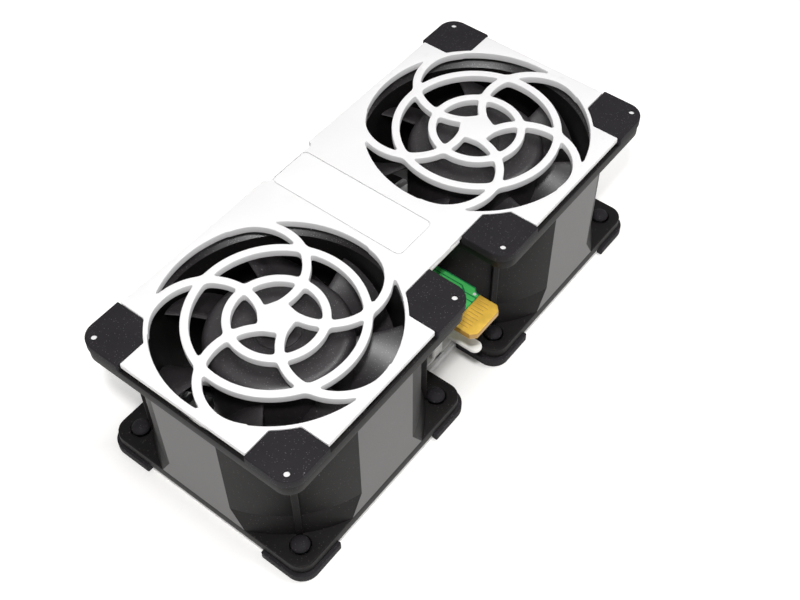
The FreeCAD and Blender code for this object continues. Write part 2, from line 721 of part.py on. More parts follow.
def board_carrier():
    """The moulding that stands on the bottom plate between the fans. Its shelf holds the board,
    two pegs hold it in the plate, and a guide finger reaches out under the board's tab."""
    half = CARRIER_WIDTH / 2
    web = CARRIER_WEB / 2
    shelf_top = BOARD_TOP - BOARD_THICKNESS
    guide = GUIDE_WIDTH / 2
    guide_tip = HALF - GUIDE_SETBACK
    guide_z = GUIDE_TOP - GUIDE_THICKNESS
    parts = [
        slab(-half, half, -CARRIER_FRONT, BOARD_BACK, shelf_top - CARRIER_SHELF, shelf_top),
        slab(-web, web, -CARRIER_FRONT, BOARD_BACK, SHEET, shelf_top),
        slab(-half, half, -CARRIER_FRONT, BOARD_BACK, SHEET, SHEET + CARRIER_SHELF),
        slab(-guide, guide, -guide_tip + guide, -CARRIER_FRONT + web, guide_z, GUIDE_TOP),
        cylinder(guide, guide_z, GUIDE_TOP, 0, -guide_tip + guide),
    ]
    for y in (-PEG_PITCH / 2, PEG_PITCH / 2):
        parts.append(cylinder(PEG_R, SEAT, SHEET + CARRIER_SHELF, 0, y))
    body = joined(parts)
    depth = SCREW_LENGTH - BOARD_THICKNESS + SEAT
    for y in screw_places():
        body = body.cut(cylinder(SCREW_R + RUNNING_FIT, shelf_top - depth, shelf_top, 0, y))
    return cleaned(body)


def board_screws():
    screws = []
    for y in screw_places():
        head = cylinder(SCREW_HEAD_R, BOARD_TOP, BOARD_TOP + SCREW_HEAD_HEIGHT, 0, y)
        shank = cylinder(SCREW_R, BOARD_TOP - SCREW_LENGTH, BOARD_TOP, 0, y)
        screws.append(joined([head, shank]))
    return Part.makeCompound(screws)


# ---- the module -------------------------------------------------------------------------------
def fan_parts(fan, x):
    return {
        f"fan_{fan}_housing": fan_housing(x),
        f"fan_{fan}_impeller": impeller(x, LEADING_ANGLE[fan]),
        f"fan_{fan}_rotor_cup": rotor_cup(x),
        f"fan_{fan}_magnet_ring": magnet_ring(x),
        f"fan_{fan}_shaft": shaft(x),
        f"fan_{fan}_shaft_bush": shaft_bush(x),
        f"fan_{fan}_preload_spring": preload_spring(x),
        f"fan_{fan}_shaft_clip": shaft_clip(x),
        f"fan_{fan}_bearing_tube": bearing_tube(x),
        f"fan_{fan}_lower_bearing": bearing(x, LOWER_BEARING),
        f"fan_{fan}_upper_bearing": bearing(x, TUBE_TOP - BEARING_WIDTH),
        f"fan_{fan}_stator_core": stator_core(x),
        f"fan_{fan}_stator_insulator": stator_insulator(x),
        f"fan_{fan}_stator_coils": stator_coils(x),
        f"fan_{fan}_motor_board": motor_board(x),
    }


def module_parts():
    parts = {
        "top_guard_plate": top_guard_plate(),
        "bottom_guard_plate": bottom_guard_plate(),
        "label": label(),
        "board_carrier": board_carrier(),
        "connector_board": connector_board(),
        "contact_fingers": contact_fingers(),
        "board_screws": board_screws(),
    }
    for fan, x in FANS.items():
        parts.update(fan_parts(fan, x))
    for name, place in ISOLATORS.items():
        parts[f"top_isolator_{name}"] = isolator(*place, PAD_PROUD_TOP)
        parts[f"bottom_isolator_{name}"] = bottom_isolator(*place)
    return parts


os.makedirs("parts", exist_ok=True)
for node, shape in module_parts().items():
    shape.exportStep(f"parts/{node}.step")
    print(node, len(shape.Solids), shape.isValid(), round(shape.Volume, 1))
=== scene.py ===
import json
import math
from functools import partial

import bpy
import numpy as np
from mathutils import Matrix, Vector
from mathutils.geometry import delaunay_2d_cdt


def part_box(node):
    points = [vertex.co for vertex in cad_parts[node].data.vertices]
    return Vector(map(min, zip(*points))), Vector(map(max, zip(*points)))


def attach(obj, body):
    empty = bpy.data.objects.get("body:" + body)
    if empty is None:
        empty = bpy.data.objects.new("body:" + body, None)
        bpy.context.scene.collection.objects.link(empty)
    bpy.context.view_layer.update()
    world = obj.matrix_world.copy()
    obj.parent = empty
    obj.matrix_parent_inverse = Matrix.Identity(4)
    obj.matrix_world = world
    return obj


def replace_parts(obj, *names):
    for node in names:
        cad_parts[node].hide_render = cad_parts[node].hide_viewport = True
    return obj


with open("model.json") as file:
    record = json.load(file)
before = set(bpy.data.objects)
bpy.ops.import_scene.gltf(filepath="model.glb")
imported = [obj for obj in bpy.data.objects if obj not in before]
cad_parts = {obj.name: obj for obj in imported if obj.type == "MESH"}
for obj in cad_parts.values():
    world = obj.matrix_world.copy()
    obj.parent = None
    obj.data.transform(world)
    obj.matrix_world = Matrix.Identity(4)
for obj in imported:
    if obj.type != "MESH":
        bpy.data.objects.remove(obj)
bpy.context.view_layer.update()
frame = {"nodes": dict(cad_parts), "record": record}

# Lengths are millimetres in the shared frame; MM turns them into Blender's metres.
MM = 0.001


# ---- places and sizes ----
def corners_mm(node):
    """The lowest and the highest corner of a CAD node's box."""
    low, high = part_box(node)
    return low / MM, high / MM


HOUSING_A = corners_mm("fan_a_housing")
HOUSING_B = corners_mm("fan_b_housing")
TOP_PLATE = corners_mm("top_guard_plate")
LABEL = corners_mm("label")
BOARD = corners_mm("connector_board")
FINGERS_BOX = corners_mm("contact_fingers")
IMPELLER = corners_mm("fan_a_impeller")
CARRIER = corners_mm("board_carrier")
PAD_TOP = corners_mm("top_isolator_a_outer_front")
PAD_GAP = corners_mm("top_isolator_a_inner_front")
PAD_BOTTOM = corners_mm("bottom_isolator_a_outer_front")

HALF = (HOUSING_A[1].x - HOUSING_A[0].x) / 2
FAN_X = {"a": HOUSING_A[0].x + HALF, "b": HOUSING_B[0].x + HALF}
FAN_BOTTOM = HOUSING_A[0].z
FAN_TOP = HOUSING_A[1].z
HEIGHT = TOP_PLATE[1].z
PLATE_X = TOP_PLATE[1].x
PLATE_Y = TOP_PLATE[1].y
PAD_EDGE = FAN_X["a"] - PAD_TOP[1].x
PAD_REACH = {"top": -PAD_TOP[0].y, "bottom": -PAD_BOTTOM[0].y}
GAP_EDGE = -PAD_GAP[1].x

# The way each fan's grille turns, and the side of the fan that faces the other fan.
TURN = {"a": 1, "b": -1}
GAP_SIDE = {"a": 1, "b": -1}

# Two forms of one moulding reach into each other by LAP. HAIR keeps coinciding faces apart.
LAP = 0.2
HAIR = 0.02

# Fan frame: two flanges, a duct cut flat on four sides and flared below, a bevelled intake.
FLANGE = 3.2
FLANGE_CORNER_R = 4.0
FLANGE_ROUND = 0.3
HOLE_AT = 25.0
HOLE_R = 2.5
BORE_R = 28.3
BORE_LINING = 0.8
LINING_DROP = 3.05
BORE_SEGMENTS = 144
ARC_STEPS = 16
MOUTH_R = 30.6
MOUTH_SIDE = 29.2
MOUTH_ROWS = ((0.2, 1.0), (1.2, 1.0), (2.2, 0.4), (3.0, 0.0))
DUCT_R = 31.4
DUCT_LAP = 0.3
FLARE = 1.2
FLARE_TOP = 12.0
RIB_OUTLINE = ((30.5, -0.8), (32.8, -0.8), (33.0, -0.6), (33.0, 0.6), (32.8, 0.8), (30.5, 0.8))

# Motor base, as (radius, height over the exhaust), and the stator vanes round it.
MOTOR_BASE = ((5.12, 1.5), (16.7, 1.5), (17.0, 1.8), (17.0, 3.2), (16.7, 3.5), (5.12, 3.5))
VANES = 8
VANE_ROOT_R = 16.5
VANE_TIP_R = BORE_R + 0.4
VANE_RISE = 0.9
VANE_HEIGHT = 7.0
VANE_THICKNESS = 1.4
VANE_LEAN = 2.4
VANE_BOW = 0.8

# Guard plates: a thin sheet with deeper bars. SEAT is the clearance round what the sheet holds,
# and a cut runs PAST the edge of the piece.
SHEET = 1.3
BAR_DEPTH = 2.0
PLATE_ROUNDS = (0.22, 0.12)
PLATE_CORNER_R = 0.3
OPENING_R = 27.75
STEP_R = 28.2
STEP_SEGMENTS = 180
NOTCH_RIB = 1.0
BACK_NOTCH_HALF = 8
BACK_NOTCH_DEPTH = 1.2
BACK_NOTCH_R = 0.8
BOSS_R = 3.5
BOSS_CHAMFER = 0.2
PIN_R = 1.6
PIN_TIP_R = 1.3
PIN_POINT = 0.5
PIN_LENGTH = 2.5
LABEL_BOX = (LABEL[0].x, LABEL[1].x, LABEL[0].y, LABEL[1].y)
LABEL_R = 1.3
RECESS_GAP = 0.25
RECESS_DEPTH = 0.35
SEAT = 0.1
PAST = 5

# Isolators: corner pads with a small hole down to a tongue of the plate, and a headed stem.
PAD_ARC_R = 28.75
PAD_CORNER_R = 4.5
PAD_ROUNDS = (0.3, 0.2)
PIN_HOLE_R = 0.7
PIN_HOLE_DEPTH = 0.75
PIN_HOLE_ROUND = 0.15
PIN_HOLE_INSET = (2.2, 2.7)
TONGUE_R = 1.5
TONGUE_CHAMFER = 0.1
TONGUE_TOP = HEIGHT - 0.5
STEM_R = 1.7
STEM_DEPTH = 1.0
HEAD_R = 2.25
HEAD_EDGE = 0.25
HEAD_DOME = 1.2
DOME_STEPS = 8

# Grilles: five arms on arcs, two rings and a star in the middle.
ARMS = 5
ARM_INNER_R = 11.9
ARM_WIDTH = 2.05
ARM_START = 136.3
ARM_SWEEP = 190.0
RING_WIDTH = 1.95
RINGS = (20.85, 11.9)
STAR_R = 3.9
BAR_FILLET = 0.9

# Impellers: a cup-shaped hub with a round groove, and swept, cambered blades. A groove's row is
# its place off the groove's radius and its depth. A blade's section rises by RISE_INNER at
# RISE_INNER_R and by RISE_OUTER at the bore.
HUB_R = 17.0
HUB_WALL = 1.4
HUB_ROOF = 1.35
HUB_CHAMFER = 0.2
HUB_ROUND = 2.6
HUB_TOP = IMPELLER[1].z
HUB_BOTTOM = IMPELLER[0].z
GROOVE_R = 5.45
GROOVE_ROWS = ((0.55, 0.0), (0.25, 0.1), (0.15, 0.3), (-0.15, 0.3), (-0.25, 0.05), (-0.6, 0.0))
BLADES = 7
BLADE_WRAP = 46.0
BLADE_SWEEP = 5.0
BLADE_CAMBER = 0.17
BLADE_THICKNESS = 1.0
BLADE_TOP = FAN_TOP - 6.0
BLADE_EDGE_DROP = 0.55
BLADE_SUNK = 0.5
BLADE_BLUNTNESS = 14
RISE_INNER = 20.0
RISE_INNER_R = 15.6
RISE_OUTER = 16.0
CHORD_STEPS = 20
LEADING_ANGLE = {"a": 107.0, "b": 92.0}

ISOLATORS = {
    "a_outer_rear": ("a", -1, 1),
    "a_outer_front": ("a", -1, -1),
    "a_inner_front": ("a", 1, -1),
    "b_inner_front": ("b", -1, -1),
    "b_outer_front": ("b", 1, -1),
    "b_outer_rear": ("b", 1, 1),
}


# ---- outlines as signed distances: negative inside, in millimetres ----
def circle(x, y, radius, centre_x=0.0, centre_y=0.0):
    return np.hypot(x - centre_x, y - centre_y) - radius


def rectangle(x, y, x0, x1, y0, y1, corner=0.0):
    across = np.abs(x - (x0 + x1) / 2) - (x1 - x0) / 2 + corner
    along = np.abs(y - (y0 + y1) / 2) - (y1 - y0) / 2 + corner
    outside = np.hypot(np.maximum(across, 0), np.maximum(along, 0))
    return outside + np.minimum(np.maximum(across, along), 0) - corner


def segment(x, y, start, end, width):
    along = np.array(end) - np.array(start)
    share = ((x - start[0]) * along[0] + (y - start[1]) * along[1]) / (along @ along)
    share = np.clip(share, 0, 1)
    return np.hypot(x - start[0] - share * along[0], y - start[1] - share * along[1]) - width / 2


def polyline(x, y, places, width):
    shape = segment(x, y, places[0], places[1], width)
    for start, end in zip(places[1:], places[2:]):
        shape = np.minimum(shape, segment(x, y, start, end, width))
    return shape


def joined(first, second, fillet):
    """The union of two outlines with a small fillet in the corners between them."""
    overlap = np.maximum(fillet - np.abs(first - second), 0) / fillet
    return np.minimum(first, second) - overlap * overlap * fillet / 4


def grille(x, y, fan):
    """The spiral guard of one fan and the solid round it: five arms, two rings and the star."""
    u = TURN[fan] * (x - FAN_X[fan])
    radius = np.hypot(u, y)
    shape = OPENING_R - radius
    for ring_r in RINGS:
        ring = np.abs(radius - ring_r + RING_WIDTH / 2) - RING_WIDTH / 2
        shape = joined(shape, ring, BAR_FILLET)
    offset = OPENING_R - ARM_INNER_R
    sweep = math.radians(ARM_SWEEP)
    for index in range(ARMS):
        angle = math.radians(ARM_START + index * 360.0 / ARMS)
        from_x = u - offset * math.cos(angle)
        from_y = y - offset * math.sin(angle)
        distance = np.hypot(from_x, from_y)
        turned = (angle - np.arctan2(from_y, from_x)) % (2 * math.pi)
        past_end = np.abs((turned - sweep / 2 + math.pi) % (2 * math.pi) - math.pi) - sweep / 2
        arm = np.abs(distance - ARM_INNER_R - ARM_WIDTH / 2) - ARM_WIDTH / 2
        shape = joined(shape, np.maximum(arm, past_end * distance), BAR_FILLET)
    return joined(shape, radius - STAR_R, BAR_FILLET)


def pad_corner(x, y, fan, side_x, side_y, arc_r, edge):
    """The quarter plane an isolator lies in, outside the arc round the fan's opening."""
    u = side_x * (x - FAN_X[fan])
    v = side_y * y
    return np.maximum(np.maximum(edge - u, edge - v), arc_r - np.hypot(u, v))


def pad_outline(x, y, fan, side_x, side_y, reach):
    u = side_x * (x - FAN_X[fan])
    v = side_y * y
    reach_u = abs(FAN_X[fan]) - GAP_EDGE if side_x == GAP_SIDE[fan] else reach
    block = rectangle(u, v, -reach, reach_u, -reach, reach, PAD_CORNER_R)
    return np.maximum(block, pad_corner(x, y, fan, side_x, side_y, PAD_ARC_R, PAD_EDGE))


def plate_outline(x, y):
    """The moulded sheet: a rectangle without the isolators' corners and its two notches."""
    shape = rectangle(x, y, -PLATE_X, PLATE_X, -PLATE_Y, PLATE_Y, PLATE_CORNER_R)
    for fan, side_x, side_y in ISOLATORS.values():
        room = pad_corner(x, y, fan, side_x, side_y, PAD_ARC_R - SEAT, PAD_EDGE - SEAT)
        room = np.maximum(room, side_x * (x - FAN_X[fan]) - HALF - PAST)
        shape = np.maximum(shape, -room)
    gap = GAP_EDGE + SEAT
    notch = rectangle(x, y, -gap, gap, -HALF - PAST, -PAD_EDGE, PLATE_CORNER_R)
    back_edge = PLATE_Y - BACK_NOTCH_DEPTH
    back = rectangle(x, y, -BACK_NOTCH_HALF, BACK_NOTCH_HALF, back_edge, HALF + PAST, BACK_NOTCH_R)
    return np.maximum(np.maximum(shape, -notch), -back)


def guard_outline(x, y):
    return np.maximum(np.maximum(plate_outline(x, y), grille(x, y, "a")), grille(x, y, "b"))


def label_outline(x, y, grow=0.0):
    return rectangle(x, y, *LABEL_BOX, LABEL_R) - grow


def board_outline(x, y):
    """The board: wide between the fans, shouldered, with a narrower tab cut off at its corners."""
    tip = -BOARD[0].y
    half = BOARD[1].x
    narrow = np.clip(half - (SHOULDER_Y - y), TAB_HALF, half)
    shape = rectangle(x, y, -half, half, -tip, BOARD[1].y, BOARD_CORNER_R)
    shape = np.maximum(shape, (np.abs(x) - narrow) * SHOULDER_SCALE)
    return np.maximum(shape, (np.abs(x) - y - TAB_HALF - tip + TAB_CORNER) * math.sqrt(0.5))


# ---- meshes ----
# Edges between faces that meet at more than CREASE degrees stay sharp.
CREASE = 32.0
# delaunay_2d_cdt: keep the triangles within the outer lines, and join points nearer than this.
INSIDE_LINES = 1
TOUCHING = 1e-6
# How an outline's slope is measured, and the least slope that a pull towards it divides by.
SLOPE_STEP = 0.01
LEAST_SLOPE = 0.3
# The grid starts off the outlines' own straight edges, and each point is pulled to its outline.
GRID_START = 1.37
PULLS = 3


def within(places, edges):
    """Which places lie inside the closed lines made of these edges: a ray crosses an odd number."""
    start, end = edges[:, 0], edges[:, 1]
    run = end - start
    inside = np.zeros(len(places), bool)
    for from_x, from_y, along_x, along_y in np.column_stack([start, run]):
        above = (from_y > places[:, 1]) != (from_y + along_y > places[:, 1])
        if along_y:
            crossing = from_x + (places[:, 1] - from_y) / along_y * along_x
            inside ^= above & (places[:, 0] < crossing)
    return inside


def full_turn(segments):
    return [2 * math.pi * k / segments for k in range(segments)]


def around(radius, angles, z, centre_x, centre_y=0.0):
    """Points at these angles round an upright axis."""
    return [(centre_x + radius * math.cos(t), centre_y + radius * math.sin(t), z) for t in angles]


class Shell:
    """Points and faces of one piece, in millimetres. A flat face isn't shaded smooth, and a
    face's finish is the place of its material among the piece's finishes."""

    def __init__(self):
        self.points = []
        self.faces = []
        self.flat = []
        self.finish = []

    def add(self, places):
        first = len(self.points)
        self.points.extend(tuple(float(value) for value in place) for place in places)
        return list(range(first, len(self.points)))

    def face(self, indices, flat=False, finish=0):
        self.faces.append(tuple(indices))
        self.flat.append(flat)
        self.finish.append(finish)

    def wall(self, upper, lower, closed=True, flat=False, finish=0):
        """Quads between two rows of points. The face looks to the right of the rows' direction."""
        count = len(upper)
        for index in range(count if closed else count - 1):
            after = (index + 1) % count
            self.face((upper[index], lower[index], lower[after], upper[after]), flat, finish)

    def cap(self, rows, up=True):
        """A flat face inside the outer row and outside the rows within it."""
        order = [index for row in rows for index in row]
        flat_points = [Vector(self.points[index][:2]) for index in order]
        edges = []
        first = 0
        for row in rows:
            count = len(row)
            edges.extend((first + k, first + (k + 1) % count) for k in range(count))
            first += count
        result = delaunay_2d_cdt(flat_points, edges, [], INSIDE_LINES, TOUCHING)
        found, _, faces, sources, _, _ = result
        height = self.points[order[0]][2]
        names = []
        for place, source in zip(found, sources):
            names.append(order[source[0]] if source else self.add([(place.x, place.y, height)])[0])
        corners = np.array([[tuple(found[index]) for index in face] for face in faces])
        inside = within(corners.mean(axis=1), np.array(flat_points)[np.array(edges)])
        first_side = corners[:, 1] - corners[:, 0]
        second_side = corners[:, 2] - corners[:, 0]
        upward = first_side[:, 0] * second_side[:, 1] > first_side[:, 1] * second_side[:, 0]
        for face, is_inside, is_upward in zip(faces, inside, upward):
            picked = [names[index] for index in face]
            if is_inside:
                self.face(picked if is_upward == up else picked[::-1], True)

    def turn(self, profile, centre_x=0.0, centre_y=0.0, segments=72):
        """A closed profile of (radius, z), going anticlockwise, turned round an upright axis."""
        rows = []
        for radius, z in profile:
            angles = full_turn(segments) if radius else [0]
            rows.append(self.add(around(radius, angles, z, centre_x, centre_y)))
        for low, high in zip(rows, rows[1:] + rows[:1]):
            if len(low) == 1 and len(high) == 1:
                continue
            for k in range(segments):
                after = (k + 1) % segments
                lower = [low[k % len(low)], low[after % len(low)]]
                upper = [high[after % len(high)], high[k % len(high)]]
                self.face(dict.fromkeys(lower + upper))

    def loft(self, rows):
        """A blade through closed rows of points, with a flat face at each end."""
        for here, after in zip(rows, rows[1:]):
            self.wall(here, after)
        self.face(rows[0][::-1], True)
        self.face(rows[-1], True)

    def upside_down(self):
        """Mirrors the piece in height, from its place at the top to the one at the bottom."""
        self.points = [(x, y, HEIGHT - z) for x, y, z in self.points]
        self.faces = [corners[::-1] for corners in self.faces]

    def finished(self, name, *finishes, body="module"):
        """The piece as a Blender object that rides on its body."""
        mesh = bpy.data.meshes.new(name)
        mesh.from_pydata([(x * MM, y * MM, z * MM) for x, y, z in self.points], [], self.faces)
        mesh.polygons.foreach_set("use_smooth", [not flat for flat in self.flat])
        mesh.polygons.foreach_set("material_index", self.finish)
        mesh.set_sharp_from_angle(angle=math.radians(CREASE))
        for finish in finishes:
            mesh.materials.append(MATERIALS[finish])
        mesh.update()
        piece = bpy.data.objects.new(name, mesh)
        bpy.context.scene.collection.objects.link(piece)
        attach(piece, body)
        return piece


def slope(shape, x, y):
    """How an outline's distance changes along x and along y, and how steep it is."""
    slope_x = (shape(x + SLOPE_STEP, y) - shape(x - SLOPE_STEP, y)) / (2 * SLOPE_STEP)
    slope_y = (shape(x, y + SLOPE_STEP) - shape(x, y - SLOPE_STEP)) / (2 * SLOPE_STEP)
    return slope_x, slope_y, np.maximum(np.hypot(slope_x, slope_y), LEAST_SLOPE)


def thinned(places, tolerance=0.004, longest=3.0, nearest=0.06):
    """Leaves out points that lie on the straight line between their neighbours, or on top of one."""
    kept = [places[0]]
    for here, after in zip(places[1:], np.vstack([places[2:], places[:1]])):
        before = kept[-1]
        chord = after - before
        length = math.hypot(*chord)
        twice_area = abs(chord[0] * (here[1] - before[1]) - chord[1] * (here[0] - before[0]))
        aside = twice_area / max(length, TOUCHING)
        if math.hypot(*(here - before)) < nearest or (aside < tolerance and length < longest):
            continue
        kept.append(here)
    return np.array(kept)


def crossings(shape, xs, ys):
    """Where a grid crosses an outline, and which crossing comes after each, the solid on its left."""
    values = shape(*np.meshgrid(xs, ys, indexing="ij"))
    solid = values < 0
    count = solid[:-1, :-1].astype(int) + solid[1:, :-1] + solid[1:, 1:] + solid[:-1, 1:]
    follow = {}
    places = {}
    for i, j in np.argwhere((count > 0) & (count < 4)):
        corners = ((i, j), (i + 1, j), (i + 1, j + 1), (i, j + 1))
        names = (("h", i, j), ("v", i + 1, j), ("h", i, j + 1), ("v", i, j))
        leaves = []
        enters = []
        for side in range(4):
            here = corners[side]
            after = corners[(side + 1) % 4]
            if solid[here] == solid[after]:
                continue
            share = values[here] / (values[here] - values[after])
            places[names[side]] = (
                xs[here[0]] + share * (xs[after[0]] - xs[here[0]]),
                ys[here[1]] + share * (ys[after[1]] - ys[here[1]]),
            )
            (leaves if solid[here] else enters).append(side)
        middle_solid = values[i : i + 2, j : j + 2].mean() < 0
        for side in leaves:
            turn = 1 if middle_solid or len(leaves) == 1 else -1
            around = [(side + turn * k) % 4 for k in (1, 2, 3)]
            target = next(other for other in around if other in enters)
            follow[names[side]] = names[target]
    return places, follow


def outlines(shape, x0, x1, y0, y1, step):
    """The closed lines where an outline's distance is zero, with the solid on their left: the
    points of each and the way into the solid at them."""
    xs = np.arange(x0 - step * GRID_START, x1 + 2 * step, step)
    ys = np.arange(y0 - step * GRID_START, y1 + 2 * step, step)
    places, follow = crossings(shape, xs, ys)
    lines = []
    while follow:
        start, here = next(iter(follow.items()))
        del follow[start]
        line = [places[start]]
        while here != start:
            line.append(places[here])
            here = follow.pop(here)
        line = np.array(line)
        for _ in range(PULLS):
            slope_x, slope_y, size = slope(shape, line[:, 0], line[:, 1])
            off = shape(line[:, 0], line[:, 1]) / size**2
            line = line - np.stack([off * slope_x, off * slope_y], axis=1)
        line = thinned(line)
        if len(line) < 3:
            continue
        slope_x, slope_y, size = slope(shape, line[:, 0], line[:, 1])
        lines.append((line, -np.stack([slope_x / size, slope_y / size], axis=1)))
    return lines


def area_of(line):
    """The area within a closed line: positive round a solid, negative round a hole."""
    x, y = line[:, 0], line[:, 1]
    return float((x * np.roll(y, -1) - y * np.roll(x, -1)).sum()) / 2


def edge_profile(top, bottom, top_round, bottom_round, steps=4):
    """Rows of (inset, z) down the side of a plate with rounded edges."""
    turns = [math.pi / 2 * k / steps for k in range(steps + 1)]
    bend = [(1 - math.sin(turn), 1 - math.cos(turn)) for turn in turns]
    upper = [(top_round * inset, top - top_round * drop) for inset, drop in bend]
    lower = [(bottom_round * inset, bottom + bottom_round * rise) for inset, rise in reversed(bend)]
    return upper + lower


def at_height(line, z):
    return np.column_stack([line, np.full(len(line), z)])


def sides(shell, line, profile):
    """The side of a plate along one line. Returns its top row and its bottom row."""
    places, inward = line
    rows = [shell.add(at_height(places + inward * inset, z)) for inset, z in profile]
    for upper, lower in zip(rows, rows[1:]):
        shell.wall(upper, lower)
    return rows[0], rows[-1]


def plate(shell, shape, box, bottom, top, top_round, bottom_round, step=0.5):
    """A flat piece with this outline and rounded edges."""
    lines = outlines(shape, *box, step)
    rows = [sides(shell, line, edge_profile(top, bottom, top_round, bottom_round)) for line in lines]
    shell.cap([row[0] for row in rows])
    shell.cap([row[1] for row in rows], up=False)


# ---- guard plates ----
def opening_step(shell, fan_x):
    """The round step between the sheet's underside and the deeper bars of one grille."""
    upper = shell.add(around(STEP_R, full_turn(STEP_SEGMENTS), HEIGHT - SHEET, fan_x))
    lower = shell.add(around(STEP_R, full_turn(STEP_SEGMENTS), HEIGHT - BAR_DEPTH, fan_x))
    shell.wall(upper, lower)
    return upper, lower


def label_recess(shell):
    """The shallow recess that the label lies in. Returns its rim."""
    line = outlines(partial(label_outline, grow=RECESS_GAP), *LABEL_BOX, 0.5)[0][0]
    rim = shell.add(at_height(line, HEIGHT))
    floor = shell.add(at_height(line, HEIGHT - RECESS_DEPTH))
    shell.wall(floor, rim)
    shell.cap([floor])
    return rim


def build_guard_plate(side):
    """A guard plate in the top position; the bottom one is the same moulding turned over."""
    shell = Shell()
    tops = []
    sheet_rows = []
    bar_rows = []
    for line in outlines(guard_outline, -PLATE_X, PLATE_X, -PLATE_Y, PLATE_Y, 0.4):
        opening = area_of(line[0]) < 0
        floor = HEIGHT - (BAR_DEPTH if opening else SHEET)
        top, bottom = sides(shell, line, edge_profile(HEIGHT, floor, *PLATE_ROUNDS))
        tops.append(top)
        (bar_rows if opening else sheet_rows).append(bottom)
    for fan_x in FAN_X.values():
        upper, lower = opening_step(shell, fan_x)
        sheet_rows.append(upper)
        bar_rows.append(lower)
    if side == "top":
        tops.append(label_recess(shell))
    shell.cap(tops)
    shell.cap(sheet_rows, up=False)
    shell.cap(bar_rows, up=False)
    add_plate_details(shell)
    if side == "bottom":
        shell.points = [(-x, y, HEIGHT - z) for x, y, z in shell.points]
    piece = shell.finished(f"{side}_guard", "guard_plastic")
    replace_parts(piece, f"{side}_guard_plate")


def pin_hole(name):
    """Where the small hole of an isolator is."""
    fan, side_x, side_y = ISOLATORS[name]
    return FAN_X[fan] + side_x * (HALF - PIN_HOLE_INSET[0]), side_y * (HALF - PIN_HOLE_INSET[1])


def add_plate_details(shell):
    """The rib along the connector notch, the bosses with their pins and the isolators' tongues."""
    underside = HEIGHT - SHEET
    half = GAP_EDGE - LAP
    edge = -PAD_EDGE
    rib_back = edge + NOTCH_RIB
    notch_rib = partial(rectangle, x0=-half, x1=half, y0=edge + HAIR, y1=rib_back, corner=0.1)
    rib_box = (-half, half, edge, rib_back)
    plate(shell, notch_rib, rib_box, HEIGHT - BAR_DEPTH, underside + LAP, HAIR, PLATE_ROUNDS[1])
    pin_tip = FAN_TOP - PIN_LENGTH
    foot = FAN_TOP + HAIR
    roof = underside + LAP
    pin = [(0, pin_tip), (PIN_TIP_R, pin_tip), (PIN_R, pin_tip + PIN_POINT), (PIN_R, foot)]
    boss = [(BOSS_R - BOSS_CHAMFER, foot), (BOSS_R, FAN_TOP + BOSS_CHAMFER), (BOSS_R, roof), (0, roof)]
    for fan, fan_x in FAN_X.items():
        shell.turn(pin + boss, fan_x + GAP_SIDE[fan] * HOLE_AT, HOLE_AT, segments=48)
    tongue = [
        (0, underside),
        (TONGUE_R - TONGUE_CHAMFER, underside),
        (TONGUE_R, underside + TONGUE_CHAMFER),
        (TONGUE_R, TONGUE_TOP),
        (0, TONGUE_TOP),
    ]
    for name in ISOLATORS:
        shell.turn(tongue, *pin_hole(name), segments=32)


def build_label():
    shell = Shell()
    plate(shell, label_outline, LABEL_BOX, LABEL[0].z, LABEL[1].z, 0.04, 0.02)
    piece = shell.finished("blank_label", "label")
    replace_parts(piece, "label")


# ---- isolators ----
def head_profile():
    """The end of an isolator's stem and its mushroom head, which stands on z = 0."""
    shoulder_r = HEAD_R - HEAD_EDGE
    rows = [(0, -STEM_DEPTH), (STEM_R, -STEM_DEPTH), (STEM_R, 0), (shoulder_r, 0), (HEAD_R, HEAD_EDGE)]
    for k in range(1, DOME_STEPS + 1):
        angle = math.pi / 2 * k / DOME_STEPS
        radius = HEAD_R * math.cos(angle) if k < DOME_STEPS else 0
        rows.append((radius, HEAD_EDGE + HEAD_DOME * math.sin(angle)))
    return rows


def isolator(side, name):
    """An isolator in the top position, with its stem's head behind the flange."""
    fan, side_x, side_y = ISOLATORS[name]
    reach = PAD_REACH[side]
    hole_x, hole_y = pin_hole(name)

    def shape(x, y):
        pad = pad_outline(x, y, fan, side_x, side_y, reach)
        return np.maximum(pad, PIN_HOLE_R - np.hypot(x - hole_x, y - hole_y))

    ends_x = sorted(FAN_X[fan] + side_x * far for far in (PAD_EDGE - 1, reach + 2))
    ends_y = sorted(side_y * far for far in (PAD_EDGE - 1, reach))
    shell = Shell()
    tops = []
    bottoms = []
    for line in outlines(shape, *ends_x, *ends_y, 0.35):
        if area_of(line[0]) > 0:
            top, bottom = sides(shell, line, edge_profile(HEIGHT, FAN_TOP, *PAD_ROUNDS))
            bottoms.append(bottom)
        else:
            floor = HEIGHT - PIN_HOLE_DEPTH
            top, bottom = sides(shell, line, edge_profile(HEIGHT, floor, PIN_HOLE_ROUND, 0.0, 3))
            shell.cap([bottom])
        tops.append(top)
    shell.cap(tops)
    shell.cap(bottoms, up=False)
    add_head(shell, FAN_X[fan] + side_x * HOLE_AT, side_y * HOLE_AT)
    return shell


def add_head(shell, stem_x, stem_y):
    """The stem's head, which hangs from the back of the flange."""
    head = Shell()
    head.turn(head_profile(), segments=40)
    first = len(shell.points)
    shell.add([(stem_x + x, stem_y - y, FAN_TOP - FLANGE - z) for x, y, z in head.points])
    for corners in head.faces:
        shell.face([first + corner for corner in corners])


def build_isolators():
    for name in ISOLATORS:
        for side in ("top", "bottom"):
            shell = isolator(side, name)
            if side == "bottom":
                shell.upside_down()
            piece = shell.finished(f"{side}_pad_{name}", "isolator")
            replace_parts(piece, f"{side}_isolator_{name}")


# ---- fan housing ----
FRAME_FINISHES = ("fan_plastic", "smooth_panel", "mouth_bevel")
PANEL = FRAME_FINISHES.index("smooth_panel")
BEVEL = FRAME_FINISHES.index("mouth_bevel")
